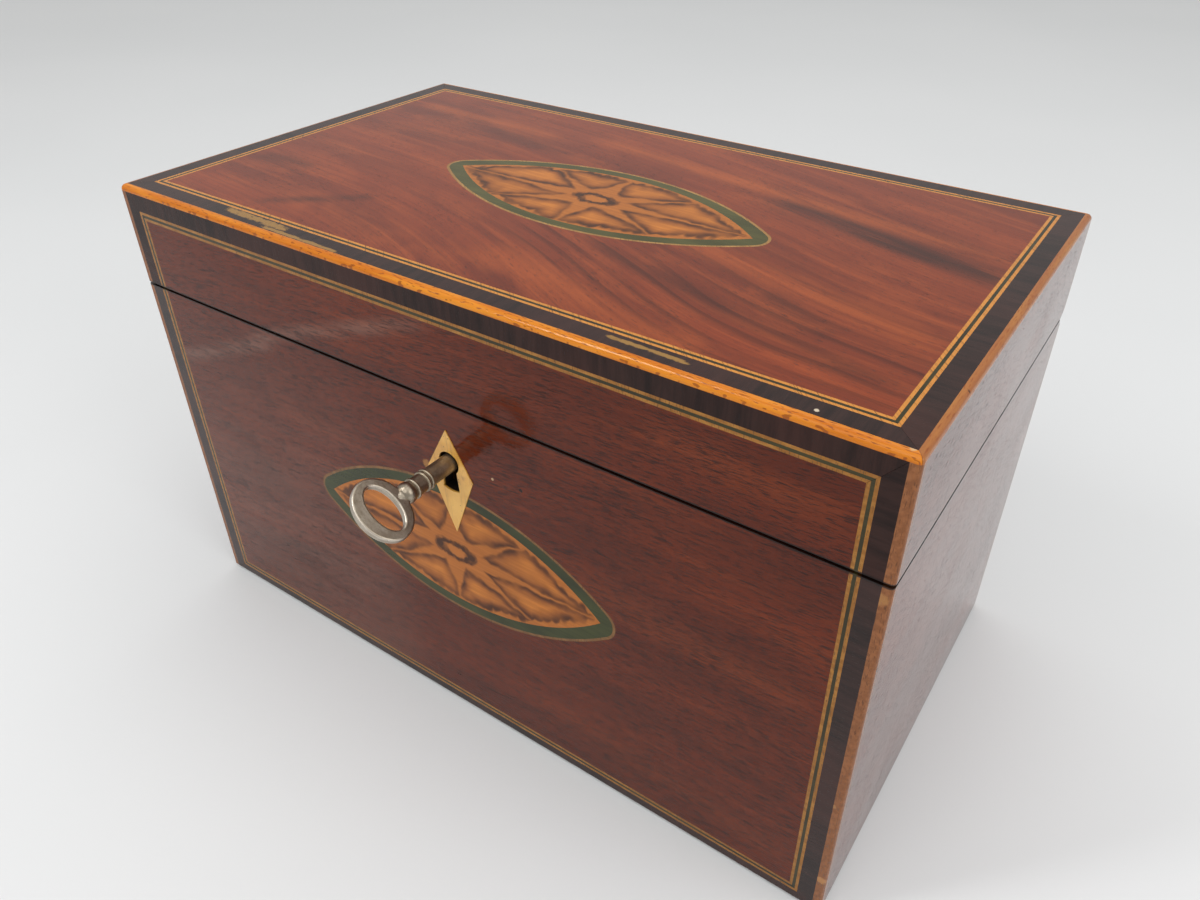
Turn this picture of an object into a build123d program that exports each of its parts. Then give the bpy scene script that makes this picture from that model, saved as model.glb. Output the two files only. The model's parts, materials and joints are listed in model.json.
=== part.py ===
from build123d import *
from math import acos, asin, cos, degrees, hypot, pi, radians, sin, sqrt, tan
import os

os.makedirs("parts", exist_ok=True)

# An antique tea caddy: a veneered box with a hinged lid, a box lock with its key,
# and two tea compartments, each under an inner lid.
# Origin at the middle of the underside, +X to the right, -Y to the front, +Z up.
# All sizes are millimetres.

# Closed box
box_width = 190.0
box_depth = 109.0
box_height = 118.0
joint_height = 93.0
joint_gap = 0.6

# Boards, veneers and linings
baize_thickness = 0.8
bottom_thickness = 6.2
wall_thickness = 7.5
lid_top_thickness = 6.0
veneer_thickness = 1.0
lining_thickness = 3.0
divider_thickness = 4.0
foil_thickness = 0.3
paper_thickness = 0.3
paper_margin = 1.6
glue_line = 0.06

# Edging, crossbanding and stringing
edging_width = 1.4
edging_round = 1.25
corner_width = 1.9
corner_round = 0.8
mitre_angle = 45.0
crossbanding_width = 3.5
edge_banding_width = 4.1
foot_banding_width = 2.2
line_width = 0.64

# Pateras: the long arcs meet small end arcs, and the field inside them is a pointed lens
patera_half_length = 43.0
patera_half_width = 18.0
patera_end_radius = 4.5
patera_line_width = 0.65
field_half_length = 39.3
field_half_width = 15.0
petal_margin = 0.9
ray_half_width = 0.35
slant_ray_tip = 19.6
long_petal_apex = (8.8, 2.2)
short_petal_apex = (4.2, 4.6)
petal_overrun = 1.5
scallop_count = 14
scallop_depth = 0.3
rosette_half_length = 5.3
rosette_half_width = 2.7
rosette_hole_half_length = 2.4
rosette_hole_half_width = 1.3
rosette_lobes = 8
rosette_lobe_depth = 0.2
top_patera_x = 1.0
front_patera_x = 0.5
front_patera_drop = 39.4

# Escutcheon and keyhole
lock_x = 1.9
key_drop = 14.5
escutcheon_half_width = 6.2
escutcheon_drop = 2.9
escutcheon_rise = 11.1
escutcheon_fall = 15.7
escutcheon_proud = 0.2
keyhole_room = 0.7
keyhole_flare = 0.55
keyhole_sag = 0.5

# Box lock
lock_skin = 1.7
lock_sheet = 1.0
cap_wall = 0.8
cap_room = 0.65
plate_ear = 4.0
plate_below_cap = 1.0
lock_clearance = 0.3
staple_spacing = 16.0
staple_thickness = 1.6
staple_leg = 0.7
staple_foot = 0.8
staple_room = 0.4
eye_top = 2.0
link_plate_thickness = 1.2
link_half_width = 18.0
link_screw_spacing = 27.0
drill_pin_radius = 0.8
ledge_reach = 8.2
ledge_thickness = 1.2
spring_thickness = 0.5
spring_touch = 10.0
spring_foot_drop = 4.5
lock_screw_margin = 4.5

# Bolt
bolt_throw = 5.0
bolt_bottom = 4.6
bolt_bridge = 2.2
riser_width = 1.6
talon_room = 0.6

# Key, measured outwards from the front face along the shank
key_turn_at_rest = 52.3
shank_radius = 2.0
barrel_clearance = 0.3
bore_clearance = 0.1
bore_depth = 6.0
bit_radius = 6.6
bit_thickness = 2.4
bit_side_room = 0.5
ward_width = 0.6
ward_depth = 1.8
collar_places = (6.4, 7.4, 10.2)
collar_width = 0.75
collar_height = 0.32
neck_start = 11.2
neck_bulge = (12.3, 2.3)
neck_waist = (13.9, 1.35)
neck_end = (15.1, 0.75)
shoulder_start = (12.6, 1.5)
shoulder_hollow = (14.2, 2.5)
shoulder_end = (15.9, 5.7)
bow_middle = 18.9
bow_half_length = 5.6
bow_half_width = 7.05
bow_hole_middle = 18.6
bow_hole_half_length = 2.9
bow_hole_half_width = 5.15
bow_thickness = 1.7
bow_round = 0.4

# Hinges
hinge_spacing = 112.0
hinge_length = 26.0
hinge_inset = 2.5
knuckle_radius = 1.9
knuckle_gap = 0.15
hinge_room = 0.35
hinge_pin_radius = 0.75
hinge_pin_fit = 0.02
hinge_pin_running = 0.06
leaf_thickness = 1.0
leaf_margin = 0.4
leaf_screw_spacing = 9.0
bevel_angle = 48.0
bevel_overrun = 3.0

# Screws
screw_head_radius = 1.15
screw_shank_radius = 0.65
screw_head_depth = 0.6
screw_length = 5.0
screw_fit = 0.03
screw_slot_width = 0.3
screw_slot_depth = 0.25

# Inner lids
seat_drop = 14.0
inner_lid_thickness = 4.0
inner_lid_gap = 0.6
inner_lid_round = 0.8
knob_height = 9.0
knob_dowel_radius = 1.5
knob_dowel_length = 3.6
knob_foot_radius = 3.2
knob_foot_height = 1.4
knob_foot_bend = (2.7, 0.7)
knob_neck_radius = 1.6
knob_neck_height = 3.2
knob_ball_radius = 3.9
knob_ball_height = 5.6
knob_tip_radius = 0.9
knob_fit = 0.03

# Places worked out from the sizes above
half_width = box_width / 2
half_depth = box_depth / 2
carcass_x = half_width - veneer_thickness
carcass_y = half_depth - veneer_thickness
inner_x = carcass_x - wall_thickness
inner_y = carcass_y - wall_thickness
floor_height = baize_thickness + bottom_thickness
lid_bottom = joint_height + joint_gap
carcass_top = box_height - veneer_thickness
ceiling = carcass_top - lid_top_thickness
front_veneer_top = box_height - edging_width
line_steps = [crossbanding_width + step * line_width for step in range(4)]
edge_steps = [edge_banding_width + step * line_width for step in range(4)]
foot_steps = [foot_banding_width + step * line_width for step in range(4)]

hinge_y = half_depth - hinge_inset
hinge_z = joint_height + joint_gap / 2
hinge_places = (-hinge_spacing / 2, hinge_spacing / 2)
knuckle_length = (hinge_length - 2 * knuckle_gap) / 3
leaf_width = hinge_y - inner_y - leaf_margin
leaf_screw_place = (knuckle_radius + knuckle_gap + leaf_width) / 2

key_height = joint_height - key_drop
keyhole_radius = shank_radius + keyhole_room
keyhole_slot_width = bit_thickness + 2 * bit_side_room
keyhole_drop = bit_radius + keyhole_room
escutcheon_widest = key_height - escutcheon_drop
front_patera_z = joint_height - front_patera_drop

# Depths of the lock from the front backwards, then its heights
lock_front = carcass_y - lock_skin
plate_front = inner_y + lock_sheet
cap_inside = lock_front - cap_wall
staple_y = (cap_inside + plate_front) / 2
staple_half_depth = (cap_inside - plate_front) / 2 - lock_clearance
tongue_thickness = 2 * (staple_half_depth - staple_leg - lock_clearance)
bolt_back = plate_front + lock_clearance
bolt_thickness = staple_y + tongue_thickness / 2 - bolt_back
bit_length = cap_inside - plate_front - 2 * bit_side_room
sweep_radius = hypot(bit_radius, bit_thickness / 2)
talon_rise = sweep_radius + talon_room
bolt_top = talon_rise + bolt_bridge
lock_floor = key_height - talon_rise
lock_ceiling = joint_height - lock_sheet
cap_bottom = lock_floor - cap_wall
plate_bottom = cap_bottom - plate_below_cap
staple_bottom = key_height + bolt_top + staple_room
eye_floor = staple_bottom + staple_foot
eye_ceiling = lid_bottom - eye_top

# Travel of the bolt, which is in step with the key, and the widths that follow from it
bolt_per_degree = bolt_throw / (360 - key_turn_at_rest)
bolt_before = bolt_per_degree * key_turn_at_rest
talon_middle = bolt_per_degree * (180 - key_turn_at_rest)
talon_swing = degrees(acos(bolt_bottom / sweep_radius))
talon_half_width = sqrt(sweep_radius**2 - bolt_bottom**2) + talon_room
talon_half_width += bolt_per_degree * talon_swing
staple_places = (-staple_spacing / 2, staple_spacing / 2)
bolt_right = staple_places[1] + staple_thickness / 2 + lock_clearance + bolt_throw + riser_width
cap_half_inside = bolt_right + bolt_before + cap_room
bolt_left = -cap_half_inside + bolt_throw + cap_room
plate_half_width = cap_half_inside + cap_wall + plate_ear
seat_height = joint_height - seat_drop

top_plane = Plane.XY.offset(box_height)
front_plane = Plane(origin=(0, -half_depth, 0), x_dir=(1, 0, 0), z_dir=(0, -1, 0))
top_patera_plane = Plane(origin=(top_patera_x, 0, box_height))
front_patera_plane = Plane(
    origin=(front_patera_x, -half_depth, front_patera_z), x_dir=(1, 0, 0), z_dir=(0, -1, 0)
)
key_place = Plane(
    origin=(lock_x, -half_depth, key_height),
    x_dir=(0, -1, 0),
    z_dir=(cos(radians(key_turn_at_rest)), 0, sin(radians(key_turn_at_rest))),
)


def save(builder, label):
    """Label a finished sub-part and write its STEP file."""
    builder.part.label = label
    export_step(builder.part, f"parts/{label}.step")


def block(low, high, mode=Mode.ADD):
    """Rectangular block between two opposite corners."""
    size = [end - start for start, end in zip(low, high)]
    middle = tuple((start + end) / 2 for start, end in zip(low, high))
    with Locations(middle):
        Box(*size, mode=mode)


def corner_posts(low, high, mode=Mode.ADD):
    """Square strips along the four upright corners of the box, between two heights."""
    for side_x in (-1, 1):
        for side_y in (-1, 1):
            outer = (side_x * half_width, side_y * half_depth)
            inner = (
                side_x * (half_width - corner_width),
                side_y * (half_depth - corner_width),
            )
            x_ends = sorted((outer[0], inner[0]))
            y_ends = sorted((outer[1], inner[1]))
            block((x_ends[0], y_ends[0], low), (x_ends[1], y_ends[1], high), mode)


def cut_bevel(level, side):
    """Cut the back edge away behind the hinge line: side is -1 under the joint and 1 over it."""
    back = hinge_inset + bevel_overrun
    with BuildSketch(Plane.YZ.offset(-box_width)) as profile:
        with Locations((hinge_y, level)):
            Polygon(
                (0, 0),
                (back, side * back * tan(radians(bevel_angle))),
                (back, -side * bevel_overrun),
                (0, -side * bevel_overrun),
                align=None,
            )
    extrude(profile.sketch, amount=2 * box_width, mode=Mode.SUBTRACT)


def cut_knuckle_room():
    """Round room for the hinge knuckles."""
    for place in hinge_places:
        with Locations(Plane(origin=(place, hinge_y, hinge_z), z_dir=(1, 0, 0))):
            Cylinder(
                knuckle_radius + hinge_room,
                hinge_length + 2 * hinge_room,
                mode=Mode.SUBTRACT,
            )


def screw(plane, fit=0.0, mode=Mode.ADD):
    """Countersunk screw with its head flush in the plane and its shank against the normal."""
    hanging = (Align.CENTER, Align.CENTER, Align.MAX)
    with Locations(plane):
        Cylinder(screw_shank_radius + fit, screw_length, align=hanging, mode=mode)
        Cone(
            screw_shank_radius + fit,
            screw_head_radius + fit,
            screw_head_depth,
            align=hanging,
            mode=mode,
        )
        if mode == Mode.ADD:
            Box(
                2 * screw_head_radius,
                screw_slot_width,
                screw_slot_depth,
                align=hanging,
                mode=Mode.SUBTRACT,
            )


def leaf_screw_planes(side):
    """Planes of the screw heads in the base leaves, side 1, or in the lid leaves, side -1."""
    level = joint_height if side == 1 else lid_bottom
    planes = []
    for place in hinge_places:
        for step in (-1, 0, 1):
            origin = (
                place + step * leaf_screw_spacing,
                hinge_y - leaf_screw_place,
                level,
            )
            planes.append(Plane(origin=origin, x_dir=(1, 0, 0), z_dir=(0, 0, side)))
    return planes


def lock_screw_planes():
    """Planes of the screw heads in the four corners of the lock plate."""
    reach = (cap_half_inside + cap_wall + plate_half_width) / 2
    heights = (plate_bottom + lock_screw_margin, lock_ceiling - lock_screw_margin)
    planes = []
    for side in (-1, 1):
        for height in heights:
            origin = (lock_x + side * reach, -inner_y, height)
            planes.append(Plane(origin=origin, x_dir=(1, 0, 0), z_dir=(0, 1, 0)))
    return planes


def link_screw_planes():
    """Planes of the two screw heads in the link plate."""
    planes = []
    for side in (-1, 1):
        origin = (lock_x + side * link_screw_spacing / 2, -staple_y, lid_bottom)
        planes.append(Plane(origin=origin, x_dir=(1, 0, 0), z_dir=(0, 0, -1)))
    return planes


def frame_strips(outer, inner):
    """Corner points of the mitred strips that fill the frame between two rectangles."""
    left, bottom, right, top = outer
    in_left, in_bottom, in_right, in_top = inner
    strips = [
        [(left, bottom), (in_left, in_bottom), (in_left, in_top), (left, top)],
        [(right, bottom), (right, top), (in_right, in_top), (in_right, in_bottom)],
    ]
    for edge, in_edge in ((bottom, in_bottom), (top, in_top)):
        if edge != in_edge:
            strips.append(
                [
                    (left + glue_line, edge),
                    (right - glue_line, edge),
                    (in_right - glue_line, in_edge),
                    (in_left + glue_line, in_edge),
                ]
            )
    return strips


def inlay_frame(plane, outer, inner):
    """Veneer-thick mitred strips let in flush with a plane."""
    with BuildSketch(plane) as strips:
        for corners in frame_strips(outer, inner):
            Polygon(*corners, align=None)
    extrude(strips.sketch, amount=-veneer_thickness)


def top_rectangle(step):
    """Rectangle on the lid top, a step inside the edging."""
    inset = edging_width + step
    return (
        -half_width + inset,
        -half_depth + inset,
        half_width - inset,
        half_depth - inset,
    )


def lid_front_rectangle(step, edge_step):
    """Rectangle on the lid front, a step inside its edging and open at the joint."""
    side = half_width - corner_width - step
    return (-side, lid_bottom, side, front_veneer_top - edge_step)


def base_front_rectangle(step, foot_step):
    """Rectangle on the base front, a step inside its edging and open at the joint."""
    side = half_width - corner_width - step
    return (-side, baize_thickness + foot_step, side, joint_height)


def rectangle_between(corners, mode=Mode.ADD):
    """Rectangle given by its left, bottom, right and top."""
    left, bottom, right, top = corners
    Polygon(
        (left, bottom), (right, bottom), (right, top), (left, top), align=None, mode=mode
    )


def navette(inset=0.0, mode=Mode.ADD):
    """Outline of a patera, or of a line inside it: two long arcs and two small end arcs."""
    end_x = patera_half_length - patera_end_radius
    long_radius = (end_x**2 + patera_half_width**2 - patera_end_radius**2) / (
        2 * (patera_half_width - patera_end_radius)
    )
    drop = long_radius - patera_half_width
    reach = long_radius - patera_end_radius
    end_radius = patera_end_radius - inset
    tangent_x = end_x + end_radius * end_x / reach
    tangent_y = end_radius * drop / reach
    crown = patera_half_width - inset
    tip = patera_half_length - inset
    with BuildLine() as outline:
        ThreePointArc((-tangent_x, tangent_y), (0, crown), (tangent_x, tangent_y))
        ThreePointArc((tangent_x, tangent_y), (tip, 0), (tangent_x, -tangent_y))
        ThreePointArc((tangent_x, -tangent_y), (0, -crown), (-tangent_x, -tangent_y))
        ThreePointArc((-tangent_x, -tangent_y), (-tip, 0), (-tangent_x, tangent_y))
    make_face(outline.edges(), mode=mode)


def lens(mode=Mode.ADD):
    """Pointed field inside the border of a patera."""
    with BuildLine() as outline:
        ThreePointArc((-field_half_length, 0), (0, field_half_width), (field_half_length, 0))
        ThreePointArc((field_half_length, 0), (0, -field_half_width), (-field_half_length, 0))
    make_face(outline.edges(), mode=mode)


def scalloped_lens(mode=Mode.ADD):
    """Outer edge of the petals: the field drawn in by a margin, with a row of small scallops."""
    length = field_half_length - petal_margin
    width = field_half_width - petal_margin
    radius = (length**2 + width**2) / (2 * width)
    drop = radius - width
    half_angle = asin(length / radius)
    step = 2 * half_angle / scallop_count

    def point(angle, bulge, side):
        return (
            (radius + bulge) * sin(angle),
            side * ((radius + bulge) * cos(angle) - drop),
        )

    with BuildLine() as outline:
        for side in (-1, 1):
            for number in range(scallop_count):
                start = -half_angle + number * step
                ThreePointArc(
                    point(start, 0, side),
                    point(start + step / 2, scallop_depth, side),
                    point(start + step, 0, side),
                )
    make_face(outline.edges(), mode=mode)


def lobed_ellipse(half_length, half_breadth, mode=Mode.ADD):
    """Ellipse with a ring of rounded lobes."""
    step = 2 * pi / rosette_lobes
    with BuildLine() as outline:
        for number in range(rosette_lobes):
            points = []
            for share, swell in ((0, 0), (0.5, rosette_lobe_depth), (1, 0)):
                angle = (number + share) * step
                points.append(
                    (
                        half_length * (1 + swell) * cos(angle),
                        half_breadth * (1 + swell) * sin(angle),
                    )
                )
            ThreePointArc(*points)
    make_face(outline.edges(), mode=mode)


def wedge(apex, first, second):
    """Four corners of a petal that runs from its apex past two points of the field's edge."""
    ends = []
    for target in (first, second):
        ends.append([a + petal_overrun * (b - a) for a, b in zip(apex, target)])
    far = (max(ends[0][0], ends[1][0]), max(ends[0][1], ends[1][1]))
    return [apex, ends[0], far, ends[1]]


def petal_wedges():
    """Wedges of the long and the short petal in the quarter with x and y above zero."""
    tip_y = field_half_width * sqrt(1 - (slant_ray_tip / field_half_length) ** 2)
    side_tip = (field_half_length, ray_half_width)
    upper_tip = (ray_half_width, field_half_width)
    long_tip = (slant_ray_tip + ray_half_width, tip_y)
    short_tip = (slant_ray_tip - ray_half_width, tip_y)
    return [
        wedge(long_petal_apex, side_tip, long_tip),
        wedge(short_petal_apex, short_tip, upper_tip),
    ]


def keyhole(mode=Mode.ADD):
    """Keyhole on the front plane: a round hole for the shank over a flaring slot for the bit."""
    half_top = keyhole_slot_width / 2
    half_foot = half_top + keyhole_flare
    foot = keyhole_drop - keyhole_sag
    with BuildSketch(mode=Mode.PRIVATE) as slot:
        with BuildLine():
            Polyline((-half_foot, -foot), (-half_top, 0), (half_top, 0), (half_foot, -foot))
            ThreePointArc((half_foot, -foot), (0, -keyhole_drop), (-half_foot, -foot))
        make_face()
    with Locations((lock_x, key_height)):
        Circle(keyhole_radius, mode=mode)
        add(slot.sketch, mode=mode)


def escutcheon_outline(mode=Mode.ADD):
    """Kite shape of the escutcheon on the front plane."""
    with Locations((lock_x, escutcheon_widest)):
        Polygon(
            (0, escutcheon_rise),
            (escutcheon_half_width, 0),
            (0, -escutcheon_fall),
            (-escutcheon_half_width, 0),
            align=None,
            mode=mode,
        )


def cut_escutcheon():
    """Room for the escutcheon in what lies round it."""
    with BuildSketch(front_plane) as outline:
        escutcheon_outline()
    extrude(outline.sketch, amount=-veneer_thickness, mode=Mode.SUBTRACT)


with BuildSketch() as petal_outlines:
    for flip_x in (-1, 1):
        for flip_y in (-1, 1):
            for corners in petal_wedges():
                Polygon(*[(flip_x * x, flip_y * y) for x, y in corners], align=None)
    scalloped_lens(mode=Mode.INTERSECT)

with BuildSketch() as rosette_outline:
    lobed_ellipse(rosette_half_length, rosette_half_width)

with BuildSketch() as rosette_hole:
    lobed_ellipse(rosette_hole_half_length, rosette_hole_half_width)

# Base carcass

with BuildPart() as base_baize:
    block((-carcass_x, -carcass_y, 0), (carcass_x, carcass_y, baize_thickness))
save(base_baize, "base_baize")

with BuildPart() as base_bottom_board:
    block((-carcass_x, -carcass_y, baize_thickness), (carcass_x, carcass_y, floor_height))
    corner_posts(baize_thickness, joint_height, Mode.SUBTRACT)
save(base_bottom_board, "base_bottom_board")

with BuildPart() as base_front_board:
    block((-carcass_x, -carcass_y, floor_height), (carcass_x, -inner_y, joint_height))
    corner_posts(baize_thickness, joint_height, Mode.SUBTRACT)
    block(
        (lock_x - cap_half_inside - cap_wall, -lock_front, cap_bottom),
        (lock_x + cap_half_inside + cap_wall, -inner_y, joint_height),
        Mode.SUBTRACT,
    )
    block(
        (lock_x - plate_half_width, -plate_front, plate_bottom),
        (lock_x + plate_half_width, -inner_y, joint_height),
        Mode.SUBTRACT,
    )
    block(
        (lock_x - plate_half_width, -lock_front, lock_ceiling),
        (lock_x + plate_half_width, -inner_y, joint_height),
        Mode.SUBTRACT,
    )
    with BuildSketch(front_plane.offset(-veneer_thickness)):
        keyhole()
    extrude(amount=-lock_skin, mode=Mode.SUBTRACT)
    for plane in lock_screw_planes():
        screw(plane, screw_fit, Mode.SUBTRACT)
save(base_front_board, "base_front_board")

with BuildPart() as base_back_board:
    block((-carcass_x, inner_y, floor_height), (carcass_x, carcass_y, joint_height))
    corner_posts(baize_thickness, joint_height, Mode.SUBTRACT)
    cut_bevel(joint_height, -1)
    cut_knuckle_room()
    for place in hinge_places:
        block(
            (place - hinge_length / 2, hinge_y - leaf_width, joint_height - leaf_thickness),
            (place + hinge_length / 2, hinge_y, joint_height),
            Mode.SUBTRACT,
        )
    for plane in leaf_screw_planes(1):
        screw(plane, screw_fit, Mode.SUBTRACT)
save(base_back_board, "base_back_board")

for side, label in ((-1, "base_left_board"), (1, "base_right_board")):
    with BuildPart() as base_end_board:
        x_ends = sorted((side * inner_x, side * carcass_x))
        block((x_ends[0], -inner_y, floor_height), (x_ends[1], inner_y, joint_height))
    save(base_end_board, label)

# Base veneers and inlay

with BuildPart() as base_front_veneer:
    with BuildSketch(front_plane):
        rectangle_between(base_front_rectangle(line_steps[3], foot_steps[3]))
    extrude(amount=-veneer_thickness)
    with BuildSketch(front_patera_plane):
        navette()
    extrude(amount=-veneer_thickness, mode=Mode.SUBTRACT)
    cut_escutcheon()
save(base_front_veneer, "base_front_veneer")

with BuildPart() as base_back_veneer:
    side_x = half_width - corner_width
    block((-side_x, carcass_y, baize_thickness), (side_x, half_depth, joint_height))
    cut_bevel(joint_height, -1)
    cut_knuckle_room()
save(base_back_veneer, "base_back_veneer")

with BuildPart() as base_end_veneers:
    side_y = half_depth - corner_width
    for side in (-1, 1):
        x_ends = sorted((side * carcass_x, side * half_width))
        block((x_ends[0], -side_y, baize_thickness), (x_ends[1], side_y, joint_height))
    cut_bevel(joint_height, -1)
save(base_end_veneers, "base_end_veneers")

with BuildPart() as base_corner_edging:
    corner_posts(baize_thickness, joint_height)
    outer_edges = base_corner_edging.edges().filter_by(Axis.Z)
    fillet(outer_edges.sort_by_distance((0, 0, joint_height / 2))[-4:], radius=corner_round)
    cut_bevel(joint_height, -1)
save(base_corner_edging, "base_corner_edging")

with BuildPart() as base_front_crossbanding:
    inlay_frame(
        front_plane,
        base_front_rectangle(0, 0),
        base_front_rectangle(line_steps[0], foot_steps[0]),
    )
save(base_front_crossbanding, "base_front_crossbanding")

with BuildPart() as base_boxwood_lines:
    for start, end in ((0, 1), (2, 3)):
        inlay_frame(
            front_plane,
            base_front_rectangle(line_steps[start], foot_steps[start]),
            base_front_rectangle(line_steps[end], foot_steps[end]),
        )
save(base_boxwood_lines, "base_boxwood_lines")

with BuildPart() as base_green_lines:
    inlay_frame(
        front_plane,
        base_front_rectangle(line_steps[1], foot_steps[1]),
        base_front_rectangle(line_steps[2], foot_steps[2]),
    )
save(base_green_lines, "base_green_lines")

# Pateras: on the lid top, and on the base front with room for the escutcheon

for prefix, patera_plane in (("top", top_patera_plane), ("front", front_patera_plane)):
    with BuildPart() as patera_line:
        with BuildSketch(patera_plane):
            navette()
            navette(patera_line_width, Mode.SUBTRACT)
        extrude(amount=-veneer_thickness)
        if prefix == "front":
            cut_escutcheon()
    save(patera_line, f"{prefix}_patera_line")

    with BuildPart() as patera_border:
        with BuildSketch(patera_plane):
            navette(patera_line_width)
            lens(Mode.SUBTRACT)
        extrude(amount=-veneer_thickness)
        if prefix == "front":
            cut_escutcheon()
    save(patera_border, f"{prefix}_patera_border")

    with BuildPart() as patera_ground:
        with BuildSketch(patera_plane):
            lens()
            add(petal_outlines, mode=Mode.SUBTRACT)
            add(rosette_outline, mode=Mode.SUBTRACT)
        extrude(amount=-veneer_thickness)
        if prefix == "front":
            cut_escutcheon()
    save(patera_ground, f"{prefix}_patera_ground")

    with BuildPart() as patera_petals:
        with BuildSketch(patera_plane):
            add(petal_outlines)
            add(rosette_hole)
        extrude(amount=-veneer_thickness)
        if prefix == "front":
            cut_escutcheon()
    save(patera_petals, f"{prefix}_patera_petals")

    with BuildPart() as patera_rosette:
        with BuildSketch(patera_plane):
            add(rosette_outline)
            add(rosette_hole, mode=Mode.SUBTRACT)
        extrude(amount=-veneer_thickness)
    save(patera_rosette, f"{prefix}_patera_rosette")

with BuildPart() as escutcheon:
    with BuildSketch(front_plane.offset(escutcheon_proud)):
        escutcheon_outline()
        keyhole(Mode.SUBTRACT)
    extrude(amount=-veneer_thickness - escutcheon_proud)
save(escutcheon, "escutcheon")

# Box lock

with BuildPart() as lock_plate:
    block(
        (lock_x - plate_half_width, -plate_front, plate_bottom),
        (lock_x + plate_half_width, -inner_y, joint_height),
    )
    block(
        (lock_x - plate_half_width, -lock_front, lock_ceiling),
        (lock_x + plate_half_width, -inner_y, joint_height),
    )
    for place in staple_places:
        half_slot = staple_thickness / 2 + staple_room
        block(
            (lock_x + place - half_slot, -cap_inside, lock_ceiling),
            (lock_x + place + half_slot, -plate_front, joint_height),
            Mode.SUBTRACT,
        )
    for plane in lock_screw_planes():
        screw(plane, screw_fit, Mode.SUBTRACT)
save(lock_plate, "lock_plate")

with BuildPart() as lock_cap:
    block(
        (lock_x - cap_half_inside - cap_wall, -lock_front, cap_bottom),
        (lock_x + cap_half_inside + cap_wall, -plate_front, lock_ceiling),
    )
    block(
        (lock_x - cap_half_inside, -cap_inside, lock_floor),
        (lock_x + cap_half_inside, -plate_front, lock_ceiling),
        Mode.SUBTRACT,
    )
    ledge_top = key_height + bolt_bottom - lock_clearance
    block(
        (lock_x + cap_half_inside - ledge_reach, -cap_inside, ledge_top - ledge_thickness),
        (lock_x + cap_half_inside, -plate_front, ledge_top),
    )
    with BuildSketch(Plane.XZ.offset(cap_inside)):
        keyhole()
    extrude(amount=cap_wall, mode=Mode.SUBTRACT)
save(lock_cap, "lock_cap")

with BuildPart() as lock_drill_pin:
    with Locations(Plane(origin=(lock_x, -plate_front, key_height), z_dir=(0, -1, 0))):
        Cylinder(
            drill_pin_radius,
            bore_depth - barrel_clearance,
            align=(Align.CENTER, Align.CENTER, Align.MIN),
        )
save(lock_drill_pin, "lock_drill_pin")

with BuildPart() as lock_spring:
    with BuildSketch(Plane.XZ.offset(bolt_back)):
        foot = (
            lock_x - cap_half_inside + spring_thickness / 2,
            key_height - spring_foot_drop,
        )
        touch = (
            lock_x - spring_touch,
            key_height + bolt_bottom - lock_clearance - spring_thickness / 2,
        )
        with BuildLine():
            TangentArc(foot, touch, tangent=(0, 1))
        trace(line_width=spring_thickness)
    extrude(amount=bolt_thickness)
save(lock_spring, "lock_spring")

with BuildPart() as lock_screws:
    for plane in lock_screw_planes():
        screw(plane)
save(lock_screws, "lock_screws")

with BuildPart() as lock_bolt:
    bar_bottom = key_height + bolt_bottom
    bar_top = key_height + bolt_top
    tongue_top = eye_ceiling - lock_clearance
    tongue_bottom = eye_floor + lock_clearance
    block(
        (lock_x + bolt_left, -bolt_back - bolt_thickness, bar_bottom),
        (lock_x + bolt_right, -bolt_back, bar_top),
    )
    block(
        (
            lock_x + talon_middle - talon_half_width,
            -bolt_back - bolt_thickness,
            bar_bottom,
        ),
        (
            lock_x + talon_middle + talon_half_width,
            -bolt_back,
            key_height + talon_rise,
        ),
        Mode.SUBTRACT,
    )
    for place in staple_places:
        tip = lock_x + place + staple_thickness / 2 + lock_clearance
        root = tip + bolt_throw
        front = -staple_y - tongue_thickness / 2
        back = -staple_y + tongue_thickness / 2
        block((root, front, bar_top), (root + riser_width, back, tongue_top))
        block((tip, front, tongue_bottom), (root, back, tongue_top))
save(lock_bolt, "lock_bolt")

# Key: bow, shank with its collars and neck, hollow barrel and bit. It is shaped along the
# X axis, with the front face of the box at zero and the bit towards +Y, then put in its place.

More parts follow.
